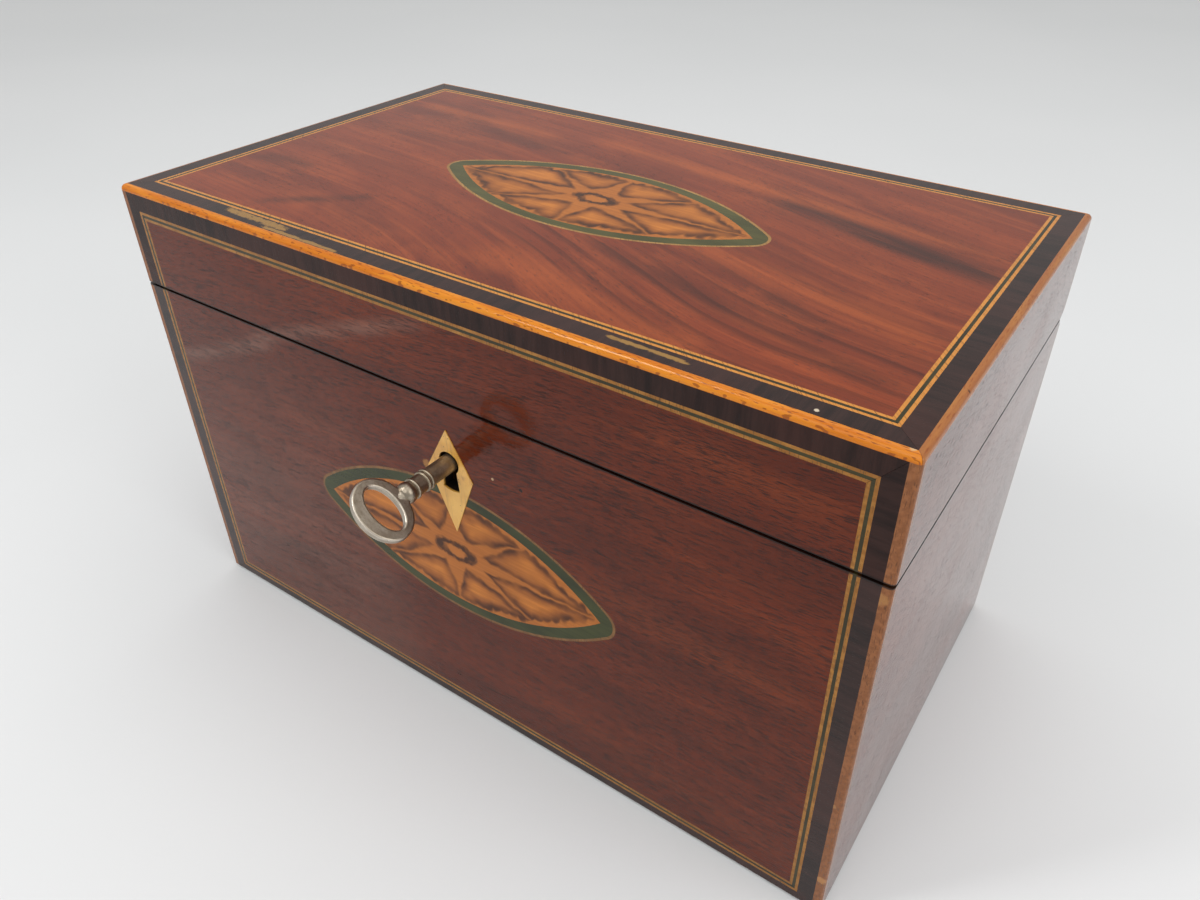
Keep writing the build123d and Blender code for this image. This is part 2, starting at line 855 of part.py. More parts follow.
with BuildPart() as key_shape:
    with BuildSketch(Plane.XY.offset(-bow_thickness / 2)):
        with Locations((bow_middle, 0)):
            Ellipse(bow_half_length, bow_half_width)
        with BuildLine():
            Polyline(
                (shoulder_end[0], -shoulder_end[1]),
                (bow_middle, -shoulder_end[1]),
                (bow_middle, shoulder_end[1]),
                shoulder_end,
            )
            ThreePointArc(shoulder_end, shoulder_hollow, shoulder_start)
            Line(shoulder_start, (shoulder_start[0], -shoulder_start[1]))
            ThreePointArc(
                (shoulder_start[0], -shoulder_start[1]),
                (shoulder_hollow[0], -shoulder_hollow[1]),
                (shoulder_end[0], -shoulder_end[1]),
            )
        make_face()
        with Locations((bow_hole_middle, 0)):
            Ellipse(bow_hole_half_length, bow_hole_half_width, mode=Mode.SUBTRACT)
    extrude(amount=bow_thickness)
    fillet(key_shape.edges(), radius=bow_round)
    barrel_end = plate_front - half_depth + barrel_clearance
    with BuildSketch(Plane.XZ):
        with BuildLine():
            Polyline((neck_end[0], 0), (barrel_end, 0), (barrel_end, shank_radius))
            start = barrel_end
            for place in collar_places:
                Line((start, shank_radius), (place, shank_radius))
                start = place + collar_width
                ThreePointArc(
                    (place, shank_radius),
                    (place + collar_width / 2, shank_radius + collar_height),
                    (start, shank_radius),
                )
            Line((start, shank_radius), (neck_start, shank_radius))
            ThreePointArc((neck_start, shank_radius), neck_bulge, neck_waist)
            Polyline(neck_waist, neck_end, (neck_end[0], 0))
        make_face()
    revolve(axis=Axis.X)
    bit_start = plate_front - half_depth + bit_side_room
    with BuildSketch(Plane.XY.offset(-bit_thickness / 2)):
        with Locations((bit_start, 0)):
            Rectangle(bit_length, bit_radius, align=(Align.MIN, Align.MIN))
        with Locations((bit_start + bit_length / 2, bit_radius)):
            Rectangle(ward_width, 2 * ward_depth, mode=Mode.SUBTRACT)
    extrude(amount=bit_thickness)
    with Locations(Plane(origin=(barrel_end, 0, 0), z_dir=(1, 0, 0))):
        Cylinder(
            drill_pin_radius + bore_clearance,
            bore_depth,
            align=(Align.CENTER, Align.CENTER, Align.MIN),
            mode=Mode.SUBTRACT,
        )

with BuildPart() as key:
    with Locations(key_place):
        add(key_shape.part)
save(key, "key")

# Hinges: each base leaf holds the two outer knuckles and the pin, each lid leaf the middle one


def hinge_section(place):
    """Plane square to the hinge pin, with its origin on the pin's axis."""
    return Plane(origin=(place, hinge_y, hinge_z), x_dir=(0, 1, 0), z_dir=(1, 0, 0))


def leaf_plate(side, reach):
    """Section of a leaf's flat plate, under the joint for side -1 and over it for side 1."""
    near = side * joint_gap / 2
    far = near + side * leaf_thickness
    Polygon((-leaf_width, near), (-reach, near), (-reach, far), (-leaf_width, far), align=None)


def hinge_leaves(side, segments, pin_room):
    """Both hinges' leaves on one side of the joint, with their knuckles."""
    for place in hinge_places:
        start = place - hinge_length / 2
        with BuildSketch(hinge_section(start)) as plate:
            leaf_plate(side, knuckle_radius + knuckle_gap)
        extrude(plate.sketch, amount=hinge_length)
        for number in segments:
            shift = number * (knuckle_length + knuckle_gap)
            with BuildSketch(hinge_section(start + shift)) as knuckle:
                leaf_plate(side, 0)
                Circle(knuckle_radius)
                Circle(hinge_pin_radius + pin_room, mode=Mode.SUBTRACT)
            extrude(knuckle.sketch, amount=knuckle_length)


with BuildPart() as base_hinge_leaves:
    hinge_leaves(-1, (0, 2), hinge_pin_fit)
    for plane in leaf_screw_planes(1):
        screw(plane, screw_fit, Mode.SUBTRACT)
save(base_hinge_leaves, "base_hinge_leaves")

with BuildPart() as lid_hinge_leaves:
    hinge_leaves(1, (1,), hinge_pin_running)
    for plane in leaf_screw_planes(-1):
        screw(plane, screw_fit, Mode.SUBTRACT)
save(lid_hinge_leaves, "lid_hinge_leaves")

with BuildPart() as hinge_pins:
    for place in hinge_places:
        with Locations(hinge_section(place)):
            Cylinder(hinge_pin_radius, hinge_length)
save(hinge_pins, "hinge_pins")

for side, label in ((1, "base_hinge_screws"), (-1, "lid_hinge_screws")):
    with BuildPart() as hinge_screws:
        for plane in leaf_screw_planes(side):
            screw(plane)
    save(hinge_screws, label)

# Tea compartments

with BuildPart() as lining_boards:
    end_y = inner_y - lining_thickness
    for side in (-1, 1):
        y_ends = sorted((side * inner_y, side * end_y))
        block((-inner_x, y_ends[0], floor_height), (inner_x, y_ends[1], seat_height))
        x_ends = sorted((side * inner_x, side * (inner_x - lining_thickness)))
        block(
            (x_ends[0], -end_y + glue_line, floor_height),
            (x_ends[1], end_y - glue_line, seat_height),
        )
save(lining_boards, "lining_boards")

with BuildPart() as compartment_divider:
    end_y = inner_y - lining_thickness
    block(
        (-divider_thickness / 2, -end_y, floor_height),
        (divider_thickness / 2, end_y, seat_height),
    )
save(compartment_divider, "compartment_divider")

with BuildPart() as foil_linings:
    end_y = inner_y - lining_thickness
    near_x = divider_thickness / 2
    far_x = inner_x - lining_thickness
    for side in (-1, 1):
        outer = sorted((side * near_x, side * far_x))
        inner = sorted((side * (near_x + foil_thickness), side * (far_x - foil_thickness)))
        block((outer[0], -end_y, floor_height), (outer[1], end_y, seat_height))
        block(
            (inner[0], -end_y + foil_thickness, floor_height + foil_thickness),
            (inner[1], end_y - foil_thickness, seat_height),
            Mode.SUBTRACT,
        )
save(foil_linings, "foil_linings")

for side, prefix in ((-1, "left"), (1, "right")):
    near_x = side * inner_lid_gap
    far_x = side * (inner_x - inner_lid_gap)
    middle_x = (near_x + far_x) / 2
    lid_top = seat_height + inner_lid_thickness
    knob_plane = Plane(origin=(middle_x, 0, lid_top), x_dir=(1, 0, 0), z_dir=(0, -1, 0))

    with BuildPart() as inner_lid:
        x_ends = sorted((near_x, far_x))
        reach_y = inner_y - inner_lid_gap
        block((x_ends[0], -reach_y, seat_height), (x_ends[1], reach_y, lid_top))
        fillet(inner_lid.faces().sort_by(Axis.Z)[-1].edges(), radius=inner_lid_round)
        with Locations((middle_x, 0, lid_top)):
            Cylinder(
                knob_dowel_radius + knob_fit,
                knob_dowel_length,
                align=(Align.CENTER, Align.CENTER, Align.MAX),
                mode=Mode.SUBTRACT,
            )
    save(inner_lid, f"{prefix}_inner_lid")

    with BuildPart() as inner_lid_knob:
        with BuildSketch(knob_plane):
            with BuildLine():
                Polyline(
                    (0, knob_height),
                    (0, -knob_dowel_length),
                    (knob_dowel_radius, -knob_dowel_length),
                    (knob_dowel_radius, 0),
                    (knob_foot_radius, 0),
                )
                ThreePointArc(
                    (knob_foot_radius, 0),
                    knob_foot_bend,
                    (knob_neck_radius, knob_foot_height),
                )
                Line((knob_neck_radius, knob_foot_height), (knob_neck_radius, knob_neck_height))
                ThreePointArc(
                    (knob_neck_radius, knob_neck_height),
                    (knob_ball_radius, knob_ball_height),
                    (knob_tip_radius, knob_height),
                )
                Line((knob_tip_radius, knob_height), (0, knob_height))
            make_face()
        revolve(axis=Axis((middle_x, 0, 0), (0, 0, 1)))
    save(inner_lid_knob, f"{prefix}_inner_lid_knob")

# Lid carcass

with BuildPart() as lid_edge_moulding:
    with BuildSketch(Plane.XY.offset(front_veneer_top)):
        rectangle_between(top_rectangle(-edging_width))
    extrude(amount=edging_width)
    fillet(lid_edge_moulding.edges().filter_by(Axis.Z), radius=corner_round)
    fillet(lid_edge_moulding.faces().sort_by(Axis.Z)[-1].edges(), radius=edging_round)
    mitre_length = 2 * sqrt(2) * edging_width
    with BuildSketch(Plane.XY.offset(front_veneer_top)):
        rectangle_between(top_rectangle(0))
        for side_x in (-1, 1):
            for side_y in (-1, 1):
                with Locations((side_x * half_width, side_y * half_depth)):
                    Rectangle(
                        mitre_length, glue_line, rotation=side_x * side_y * mitre_angle
                    )
    extrude(amount=edging_width, mode=Mode.SUBTRACT)
save(lid_edge_moulding, "lid_edge_moulding")

with BuildPart() as lid_top_board:
    block((-carcass_x, -carcass_y, ceiling), (carcass_x, carcass_y, carcass_top))
    corner_posts(lid_bottom, front_veneer_top, Mode.SUBTRACT)
    with BuildSketch(Plane.XY.offset(front_veneer_top)):
        rectangle_between(top_rectangle(-edging_width))
        rectangle_between(top_rectangle(0), Mode.SUBTRACT)
    extrude(amount=edging_width, mode=Mode.SUBTRACT)
save(lid_top_board, "lid_top_board")

with BuildPart() as lid_front_board:
    block((-carcass_x, -carcass_y, lid_bottom), (carcass_x, -inner_y, ceiling))
    corner_posts(lid_bottom, front_veneer_top, Mode.SUBTRACT)
    block(
        (lock_x - link_half_width, -lock_front, lid_bottom),
        (lock_x + link_half_width, -inner_y, lid_bottom + link_plate_thickness),
        Mode.SUBTRACT,
    )
    for plane in link_screw_planes():
        screw(plane, screw_fit, Mode.SUBTRACT)
save(lid_front_board, "lid_front_board")

with BuildPart() as lid_back_board:
    block((-carcass_x, inner_y, lid_bottom), (carcass_x, carcass_y, ceiling))
    corner_posts(lid_bottom, front_veneer_top, Mode.SUBTRACT)
    cut_bevel(lid_bottom, 1)
    cut_knuckle_room()
    for place in hinge_places:
        block(
            (place - hinge_length / 2, hinge_y - leaf_width, lid_bottom),
            (place + hinge_length / 2, hinge_y, lid_bottom + leaf_thickness),
            Mode.SUBTRACT,
        )
    for plane in leaf_screw_planes(-1):
        screw(plane, screw_fit, Mode.SUBTRACT)
save(lid_back_board, "lid_back_board")

with BuildPart() as lid_end_boards:
    for side in (-1, 1):
        x_ends = sorted((side * inner_x, side * carcass_x))
        block((x_ends[0], -inner_y, lid_bottom), (x_ends[1], inner_y, ceiling))
save(lid_end_boards, "lid_end_boards")

with BuildPart() as lid_lining_paper:
    block((-inner_x, -inner_y, lid_bottom + paper_margin), (inner_x, inner_y, ceiling))
    room_x = inner_x - paper_thickness
    room_y = inner_y - paper_thickness
    block(
        (-room_x, -room_y, lid_bottom + paper_margin),
        (room_x, room_y, ceiling - paper_thickness),
        Mode.SUBTRACT,
    )
save(lid_lining_paper, "lid_lining_paper")

# Lid veneers and inlay

with BuildPart() as lid_top_veneer:
    with BuildSketch(top_plane):
        rectangle_between(top_rectangle(edge_steps[3]))
    extrude(amount=-veneer_thickness)
    with BuildSketch(top_patera_plane):
        navette()
    extrude(amount=-veneer_thickness, mode=Mode.SUBTRACT)
save(lid_top_veneer, "lid_top_veneer")

with BuildPart() as lid_front_veneer:
    with BuildSketch(front_plane):
        rectangle_between(lid_front_rectangle(line_steps[3], edge_steps[3]))
    extrude(amount=-veneer_thickness)
save(lid_front_veneer, "lid_front_veneer")

with BuildPart() as lid_back_veneer:
    side_x = half_width - corner_width
    block((-side_x, carcass_y, lid_bottom), (side_x, half_depth, front_veneer_top))
    cut_bevel(lid_bottom, 1)
    cut_knuckle_room()
save(lid_back_veneer, "lid_back_veneer")

with BuildPart() as lid_end_veneers:
    side_y = half_depth - corner_width
    for side in (-1, 1):
        x_ends = sorted((side * carcass_x, side * half_width))
        block((x_ends[0], -side_y, lid_bottom), (x_ends[1], side_y, front_veneer_top))
    cut_bevel(lid_bottom, 1)
save(lid_end_veneers, "lid_end_veneers")

with BuildPart() as lid_corner_edging:
    corner_posts(lid_bottom, front_veneer_top)
    outer_edges = lid_corner_edging.edges().filter_by(Axis.Z)
    fillet(outer_edges.sort_by_distance((0, 0, lid_bottom))[-4:], radius=corner_round)
    cut_bevel(lid_bottom, 1)
save(lid_corner_edging, "lid_corner_edging")

with BuildPart() as lid_top_crossbanding:
    inlay_frame(top_plane, top_rectangle(0), top_rectangle(edge_steps[0]))
save(lid_top_crossbanding, "lid_top_crossbanding")

with BuildPart() as lid_front_crossbanding:
    inlay_frame(
        front_plane,
        lid_front_rectangle(0, 0),
        lid_front_rectangle(line_steps[0], edge_steps[0]),
    )
save(lid_front_crossbanding, "lid_front_crossbanding")

with BuildPart() as lid_boxwood_lines:
    for start, end in ((0, 1), (2, 3)):
        inlay_frame(top_plane, top_rectangle(edge_steps[start]), top_rectangle(edge_steps[end]))
        inlay_frame(
            front_plane,
            lid_front_rectangle(line_steps[start], edge_steps[start]),
            lid_front_rectangle(line_steps[end], edge_steps[end]),
        )
save(lid_boxwood_lines, "lid_boxwood_lines")

with BuildPart() as lid_green_lines:
    inlay_frame(top_plane, top_rectangle(edge_steps[1]), top_rectangle(edge_steps[2]))
    inlay_frame(
        front_plane,
        lid_front_rectangle(line_steps[1], edge_steps[1]),
        lid_front_rectangle(line_steps[2], edge_steps[2]),
    )
save(lid_green_lines, "lid_green_lines")

# Link plate under the lid's front edge, with an eye for each tongue of the bolt

with BuildPart() as link_plate:
    block(
        (lock_x - link_half_width, -lock_front, lid_bottom),
        (lock_x + link_half_width, -inner_y, lid_bottom + link_plate_thickness),
    )
    for place in staple_places:
        left = lock_x + place - staple_thickness / 2
        right = left + staple_thickness
        front = -staple_y - staple_half_depth
        back = -staple_y + staple_half_depth
        block((left, front, staple_bottom), (right, back, lid_bottom))
        block(
            (left, front + staple_leg, eye_floor),
            (right, back - staple_leg, eye_ceiling),
            Mode.SUBTRACT,
        )
    for plane in link_screw_planes():
        screw(plane, screw_fit, Mode.SUBTRACT)
save(link_plate, "link_plate")

with BuildPart() as link_plate_screws:
    for plane in link_screw_planes():
        screw(plane)
save(link_plate_screws, "link_plate_screws")
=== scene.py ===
"""Antique tea caddy: materials, baize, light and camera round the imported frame.

Blender lengths are metres. Inside the materials every length is in millimetres, and places are
measured from the frame's origin.
"""

import json
import math

import bpy
from mathutils import Matrix, Vector, noise


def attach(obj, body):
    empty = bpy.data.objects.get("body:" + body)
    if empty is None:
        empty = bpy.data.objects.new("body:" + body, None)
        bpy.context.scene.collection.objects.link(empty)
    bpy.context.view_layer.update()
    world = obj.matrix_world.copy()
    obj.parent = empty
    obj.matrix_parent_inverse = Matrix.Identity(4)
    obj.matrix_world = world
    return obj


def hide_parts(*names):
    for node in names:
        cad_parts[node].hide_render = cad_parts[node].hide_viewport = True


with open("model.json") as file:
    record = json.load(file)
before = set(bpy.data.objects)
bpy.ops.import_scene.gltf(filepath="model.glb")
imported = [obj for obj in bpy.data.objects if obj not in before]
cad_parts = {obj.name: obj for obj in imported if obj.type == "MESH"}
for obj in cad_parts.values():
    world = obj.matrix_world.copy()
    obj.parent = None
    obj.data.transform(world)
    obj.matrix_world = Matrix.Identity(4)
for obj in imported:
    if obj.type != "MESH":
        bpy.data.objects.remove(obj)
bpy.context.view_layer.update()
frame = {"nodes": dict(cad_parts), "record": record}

# Sizes that the looks follow, in millimetres
MM_PER_METRE = 1000.0
HALF_WIDTH = 95.0
HALF_DEPTH = 54.5
LID_TOP = 118.0
JOINT_Z = 93.3
EDGING = 1.4
FOOT = 0.8

# How near to the ends of a soft line its fading starts: 0.25 would fade it from the middle
SEGMENT_TAPER = 0.14


def srgb(red, green, blue):
    """A linear colour from the 0 to 255 values that a screen shows."""
    parts = [part / 255 for part in (red, green, blue)]
    linear = [
        part / 12.92 if part <= 0.04045 else ((part + 0.055) / 1.055) ** 2.4 for part in parts
    ]
    return (*linear, 1.0)


class Shader:
    """One material's nodes. A value is a number, a tuple or another node's socket."""

    def __init__(self, name):
        self.material = bpy.data.materials.new(name)
        self.material.use_nodes = True
        self.tree = self.material.node_tree
        self.tree.nodes.clear()
        spot = self.add("ShaderNodeTexCoord").outputs["Object"]
        self.place = self.vector("SCALE", spot, scale=MM_PER_METRE)
        self.x, self.y, self.z = self.split(self.place)

    def add(self, kind, **settings):
        """A new node of the given kind, with its settings."""
        node = self.tree.nodes.new(kind)
        for key, value in settings.items():
            setattr(node, key, value)
        return node

    def feed(self, socket, value):
        """Links a socket to the value, or sets it."""
        if isinstance(value, bpy.types.NodeSocket):
            self.tree.links.new(value, socket)
        else:
            socket.default_value = value

    def number(self, operation, *values, clamp=False):
        node = self.add("ShaderNodeMath", operation=operation, use_clamp=clamp)
        for socket, value in zip(node.inputs, values):
            self.feed(socket, value)
        return node.outputs[0]

    def vector(self, operation, *values, scale=None):
        node = self.add("ShaderNodeVectorMath", operation=operation)
        for socket, value in zip(node.inputs, values):
            self.feed(socket, value)
        if scale is not None:
            self.feed(node.inputs["Scale"], scale)
        plain = operation in ("DOT_PRODUCT", "LENGTH", "DISTANCE")
        return node.outputs["Value" if plain else "Vector"]

    def split(self, vector):
        node = self.add("ShaderNodeSeparateXYZ")
        self.feed(node.inputs[0], vector)
        return node.outputs

    def join(self, x, y, z=0.0):
        node = self.add("ShaderNodeCombineXYZ")
        for socket, value in zip(node.inputs, (x, y, z)):
            self.feed(socket, value)
        return node.outputs[0]

    def noise(self, vector, stretch=(1.0, 1.0, 1.0), detail=2.0, roughness=0.5, distortion=0.0):
        """Noise from 0 to 1. stretch is how many features a millimetre holds, along each axis."""
        node = self.add("ShaderNodeTexNoise")
        self.feed(node.inputs["Vector"], self.vector("MULTIPLY", vector, stretch))
        self.feed(node.inputs["Scale"], 1.0)
        self.feed(node.inputs["Detail"], detail)
        self.feed(node.inputs["Roughness"], roughness)
        self.feed(node.inputs["Distortion"], distortion)
        return node.outputs["Fac"]

    def cells(self, vector, stretch, feature="F1"):
        """Distance to the nearest of many scattered points."""
        node = self.add("ShaderNodeTexVoronoi", feature=feature)
        self.feed(node.inputs["Vector"], self.vector("MULTIPLY", vector, stretch))
        self.feed(node.inputs["Scale"], 1.0)
        return node.outputs["Distance"]

    def ramp(self, value, low, high, first=0.0, last=1.0):
        """Goes smoothly from first, where value is low, to last, where it is high."""
        node = self.add("ShaderNodeMapRange", interpolation_type="SMOOTHSTEP")
        for socket, given in zip(node.inputs, (value, low, high, first, last)):
            self.feed(socket, given)
        return node.outputs[0]

    def mix(self, amount, first, second):
        """The colour first where amount is 0, second where it is 1."""
        node = self.add("ShaderNodeMix", data_type="RGBA")
        sockets = [node.inputs[0], *node.inputs[6:8]]
        for socket, value in zip(sockets, (amount, first, second)):
            self.feed(socket, value)
        return node.outputs[2]

    def choose(self, amount, first, second):
        """The number first where amount is 0, second where it is 1."""
        node = self.add("ShaderNodeMix", data_type="FLOAT")
        sockets = [node.inputs[0], *node.inputs[2:4]]
        for socket, value in zip(sockets, (amount, first, second)):
            self.feed(socket, value)
        return node.outputs[0]

    def near_segment(self, spot, start, end, reach):
        """1 on the line from start to end, falling softly to 0 at its ends and at reach from it."""
        run = Vector((end[0] - start[0], end[1] - start[1], 0.0))
        offset = self.vector("SUBTRACT", spot, (*start, 0.0))
        along = self.vector("DOT_PRODUCT", offset, run)
        share = self.number("DIVIDE", along, run.length_squared, clamp=True)
        foot = self.vector("SCALE", tuple(run), scale=share)
        beside = self.ramp(self.vector("DISTANCE", offset, foot), 0.0, reach, 1.0, 0.0)
        middle = self.number("MULTIPLY", share, self.number("SUBTRACT", 1.0, share))
        return self.number("MULTIPLY", beside, self.ramp(middle, 0.0, SEGMENT_TAPER))

    def bump(self, height, depth, normal=None):
        """A normal for a surface that height, from 0 to 1, raises by up to depth millimetres."""
        node = self.add("ShaderNodeBump")
        self.feed(node.inputs["Height"], height)
        self.feed(node.inputs["Distance"], depth / MM_PER_METRE)
        if normal is not None:
            self.feed(node.inputs["Normal"], normal)
        return node.outputs[0]

    def finish(self, **inputs):
        """Ends the material in a Principled surface, whose inputs are named with underscores."""
        surface = self.add("ShaderNodeBsdfPrincipled")
        names = {socket.name.lower().replace(" ", "_"): socket for socket in surface.inputs}
        for key, value in inputs.items():
            self.feed(names[key], value)
        output = self.add("ShaderNodeOutputMaterial")
        self.tree.links.new(surface.outputs[0], output.inputs["Surface"])
        return self.material


# Wood: figure, pores and polish

DIRT = srgb(22, 14, 12)
VENEER_RELIEF = 0.006
BANDING_RELIEF = 0.005
INLAY_RELIEF = 0.004

# Lower where the polish has worn thin and reflects less, higher on the end that faces the light
POLISH_IOR = 1.34
END_POLISH_IOR = 1.64
FRONT_POLISH_IOR = 1.31
PATERA_POLISH_IOR = 1.28
LID_BAND_POLISH_IOR = 1.24
POLISH_ROUGHNESS = (0.09, 0.17)
POLISH_WAVES = 0.02


def polished(shader, colour, dullness, relief, depth, ior=POLISH_IOR):
    """French polish, thin enough to show the grain's relief, with faint waves and finger haze."""
    sunk = shader.noise(shader.place, (0.09, 0.09, 0.09), detail=3.0)
    haze = shader.noise(shader.place, (0.03, 0.03, 0.03), detail=4.0, roughness=0.6)
    surface = shader.bump(relief, depth, shader.bump(sunk, POLISH_WAVES))
    roughness = shader.number("ADD", shader.ramp(haze, 0.35, 0.7, *POLISH_ROUGHNESS), dullness)
    return shader.finish(base_color=colour, roughness=roughness, normal=surface, ior=ior)


def blemishes(shader, colour, spots):
    """Chips and specks with ragged edges, each given by its centre, its reach and its tone."""
    if not spots:
        return colour
    ragged = shader.noise(
        shader.place, (1.1, 1.1, 1.1), detail=3.0, roughness=0.7, distortion=0.8
    )
    for centre, reach, tone in spots:
        near = shader.ramp(shader.vector("DISTANCE", shader.place, centre), 0.0, reach, 1.0, 0.0)
        patch = shader.ramp(shader.number("MULTIPLY", near, ragged), 0.18, 0.36, 0.0, 0.9)
        colour = shader.mix(patch, colour, tone)
    return colour


def joint_dirt(shader, colour):
    """Darkens the lips of the joint between base and lid, where dirt and old polish gather."""
    ragged = shader.noise(shader.place, (0.3, 0.3, 1.5), detail=3.0, roughness=0.7)
    gap = shader.number("ABSOLUTE", shader.number("SUBTRACT", shader.z, JOINT_Z))
    reach = shader.number("MULTIPLY_ADD", ragged, 0.5, 0.2)
    dirty = shader.ramp(gap, reach, shader.number("ADD", reach, 0.25), 0.9, 0.0)
    return shader.mix(dirty, colour, DIRT)


def pores(shader, along, across, deep, length=2.2, width=0.16, share=0.62):
    """Short dark dashes that lie along the grain, 0 or 1 with soft ends."""
    spot = shader.join(
        shader.number("DIVIDE", along, length), shader.number("DIVIDE", across, width), deep
    )
    dashes = shader.noise(spot, detail=1.0, roughness=0.4)
    patches = shader.noise(shader.join(along, across, deep), (0.05, 0.1, 0.1))
    edge = shader.number("SUBTRACT", share + 0.08, shader.number("MULTIPLY", patches, 0.16))
    return shader.ramp(dashes, edge, shader.number("ADD", edge, 0.07))


def growth_lines(shader, spot, spacing):
    """Thin dark growth lines across the grain: each darkens slowly and ends sharply."""
    _, across, _ = shader.split(spot)
    warp = shader.noise(spot, (0.016, 0.05, 0.05), detail=2.0)
    turns = shader.number("DIVIDE", shader.number("MULTIPLY_ADD", warp, 9.0, across), spacing)
    part = shader.number("FRACT", turns)
    line = shader.number(
        "MULTIPLY", shader.ramp(part, 0.45, 0.9), shader.ramp(part, 0.92, 1.0, 1.0, 0.0)
    )
    broken = shader.noise(spot, (0.03, 0.22, 0.1), detail=2.0)
    return shader.number("MULTIPLY", line, shader.ramp(broken, 0.32, 0.58))


GRAIN_SWAY = 2.0


def figure(shader, along, across, deep, tones, mottled):
    """Mahogany's colour before its pores: broad bands, streaks and fine lines along the grain."""
    dark, middle, light = tones
    sway = shader.noise(shader.join(along, across, deep), (0.013, 0.02, 0.02), detail=1.0)
    across = shader.number("ADD", across, shader.number("MULTIPLY", sway, GRAIN_SWAY))
    spot = shader.join(along, across, deep)
    bands = shader.noise(
        spot, (0.012, 0.075, 0.05), detail=3.0, roughness=0.55, distortion=0.3
    )
    mottle = shader.noise(spot, (0.05, 0.13, 0.1), detail=2.0, distortion=0.5)
    streaks = shader.noise(
        spot, (0.018, 0.42, 0.1), detail=3.0, roughness=0.6, distortion=0.2
    )
    lines = shader.noise(spot, (0.05, 1.9, 0.3), detail=3.0, roughness=0.6)
    colour = shader.mix(shader.ramp(bands, 0.32, 0.68), dark, middle)
    colour = shader.mix(shader.ramp(mottle, 0.42, 0.75, 0.0, mottled), colour, light)
    colour = shader.mix(shader.ramp(streaks, 0.50, 0.75, 0.0, 0.5), colour, light)
    colour = shader.mix(shader.ramp(streaks, 0.28, 0.46, 0.6, 0.0), colour, dark)
    colour = shader.mix(shader.ramp(lines, 0.32, 0.6, 0.45, 0.0), colour, dark)
    return colour, spot, lines


def grain_drop(shader, along, across, course):
    """How far the grain has sunk: steadily by lean, and by drop more between start and end."""
    lean, start, end, spread, drop = course
    finish = shader.number("MULTIPLY_ADD", across, spread, end)
    sunk = shader.ramp(along, start, finish, 0.0, drop)
    return shader.number("MULTIPLY_ADD", along, lean, sunk)


def mahogany(
    name, axes, tones, pore_tone, course=None, marks=(), rings=None, specks=(), mottled=0.4,
    pore_share=0.62, fleck_share=0.68, ior=POLISH_IOR,
):
    """Figured mahogany veneer. axes names the grain's direction, the one across it and the depth.

    marks are soft streaks, each with its two ends, reach, tone and strength. rings are growth
    lines round one such streak. A higher pore_share or fleck_share leaves fewer of them.
    """
    shader = Shader(name)
    along, across, deep = (getattr(shader, axis) for axis in axes)
    flat = shader.join(along, across)
    if course:
        across = shader.number("ADD", across, grain_drop(shader, along, across, course))
    colour, spot, lines = figure(shader, along, across, deep, tones, mottled)
    if rings:
        start, end, reach, spacing, strength = rings
        soft = shader.near_segment(flat, start, end, reach)
        amount = shader.number("MULTIPLY", soft, growth_lines(shader, spot, spacing))
        colour = shader.mix(shader.number("MULTIPLY", amount, strength), colour, pore_tone)
    ragged = shader.noise(spot, (0.03, 0.5, 0.1), detail=3.0, roughness=0.6)
    # Marks are figure, and on the front also painted reflection haze and streaks
    for start, end, reach, tone, strength in marks:
        soft = shader.near_segment(flat, start, end, reach)
        streaky = shader.ramp(ragged, 0.3, 0.6, 0.35 * strength, strength)
        colour = shader.mix(shader.number("MULTIPLY", soft, streaky), colour, tone)
    flecks = pores(shader, along, across, deep, length=3.2, width=0.42, share=fleck_share)
    colour = shader.mix(shader.number("MULTIPLY", flecks, 0.45), colour, pore_tone)
    dashes = pores(shader, along, across, deep, share=pore_share)
    colour = shader.mix(shader.number("MULTIPLY", dashes, 0.75), colour, pore_tone)
    colour = blemishes(shader, colour, specks)
    colour = joint_dirt(shader, colour)
    relief = shader.number("SUBTRACT", shader.number("MULTIPLY", lines, 0.3), dashes)
    dullness = shader.number("MULTIPLY", dashes, 0.2)
    return polished(shader, colour, dullness, relief, VENEER_RELIEF, ior=ior)


# The grain's course: its lean, start and end of its fall, spread of the end, and its drop
TOP_COURSE = (0.11, -50.0, 105.0, 1.0, 24.0)
FRONT_COURSE = (-0.05, 0.0, 95.0, 0.0, 1.5)

TOP_TONES = (srgb(108, 44, 24), srgb(136, 58, 29), srgb(162, 77, 36))
FRONT_TONES = (srgb(84, 30, 11), srgb(104, 39, 14), srgb(125, 53, 20))
FRONT_PORES = srgb(34, 13, 8)
TOP_PORES = srgb(46, 18, 12)
TOP_DARK = srgb(60, 27, 18)
TOP_LIGHT = srgb(180, 90, 40)
TOP_RINGS = ((-18.0, -20.0), (150.0, -44.0), 34.0, 4.0, 0.5)
TOP_MARKS = (
    ((30.0, 23.0), (95.0, 7.0), 6.5, TOP_DARK, 0.85),
    ((48.0, 17.5), (78.0, 10.0), 4.0, TOP_DARK, 0.7),
    ((-39.0, -26.0), (-62.0, -45.0), 3.2, TOP_DARK, 0.55),
    ((8.0, -19.0), (92.0, -42.0), 4.5, TOP_DARK, 0.45),
    ((52.0, -21.0), (72.0, -30.0), 5.5, TOP_DARK, 0.4),
    ((-86.0, 34.0), (-30.0, 30.0), 5.0, TOP_LIGHT, 0.5),
    ((-28.0, 36.0), (90.0, 17.5), 4.5, TOP_LIGHT, 0.55),
    ((20.0, -6.0), (92.0, -24.0), 6.0, TOP_LIGHT, 0.45),
    ((-5.0, -33.0), (60.0, -50.0), 7.0, TOP_LIGHT, 0.35),
    ((-86.0, -22.0), (-66.0, -21.0), 5.0, TOP_DARK, 0.4),
    ((-54.0, 27.0), (-28.0, 21.0), 5.0, TOP_DARK, 0.3),
)
FRONT_DARK = srgb(62, 22, 10)
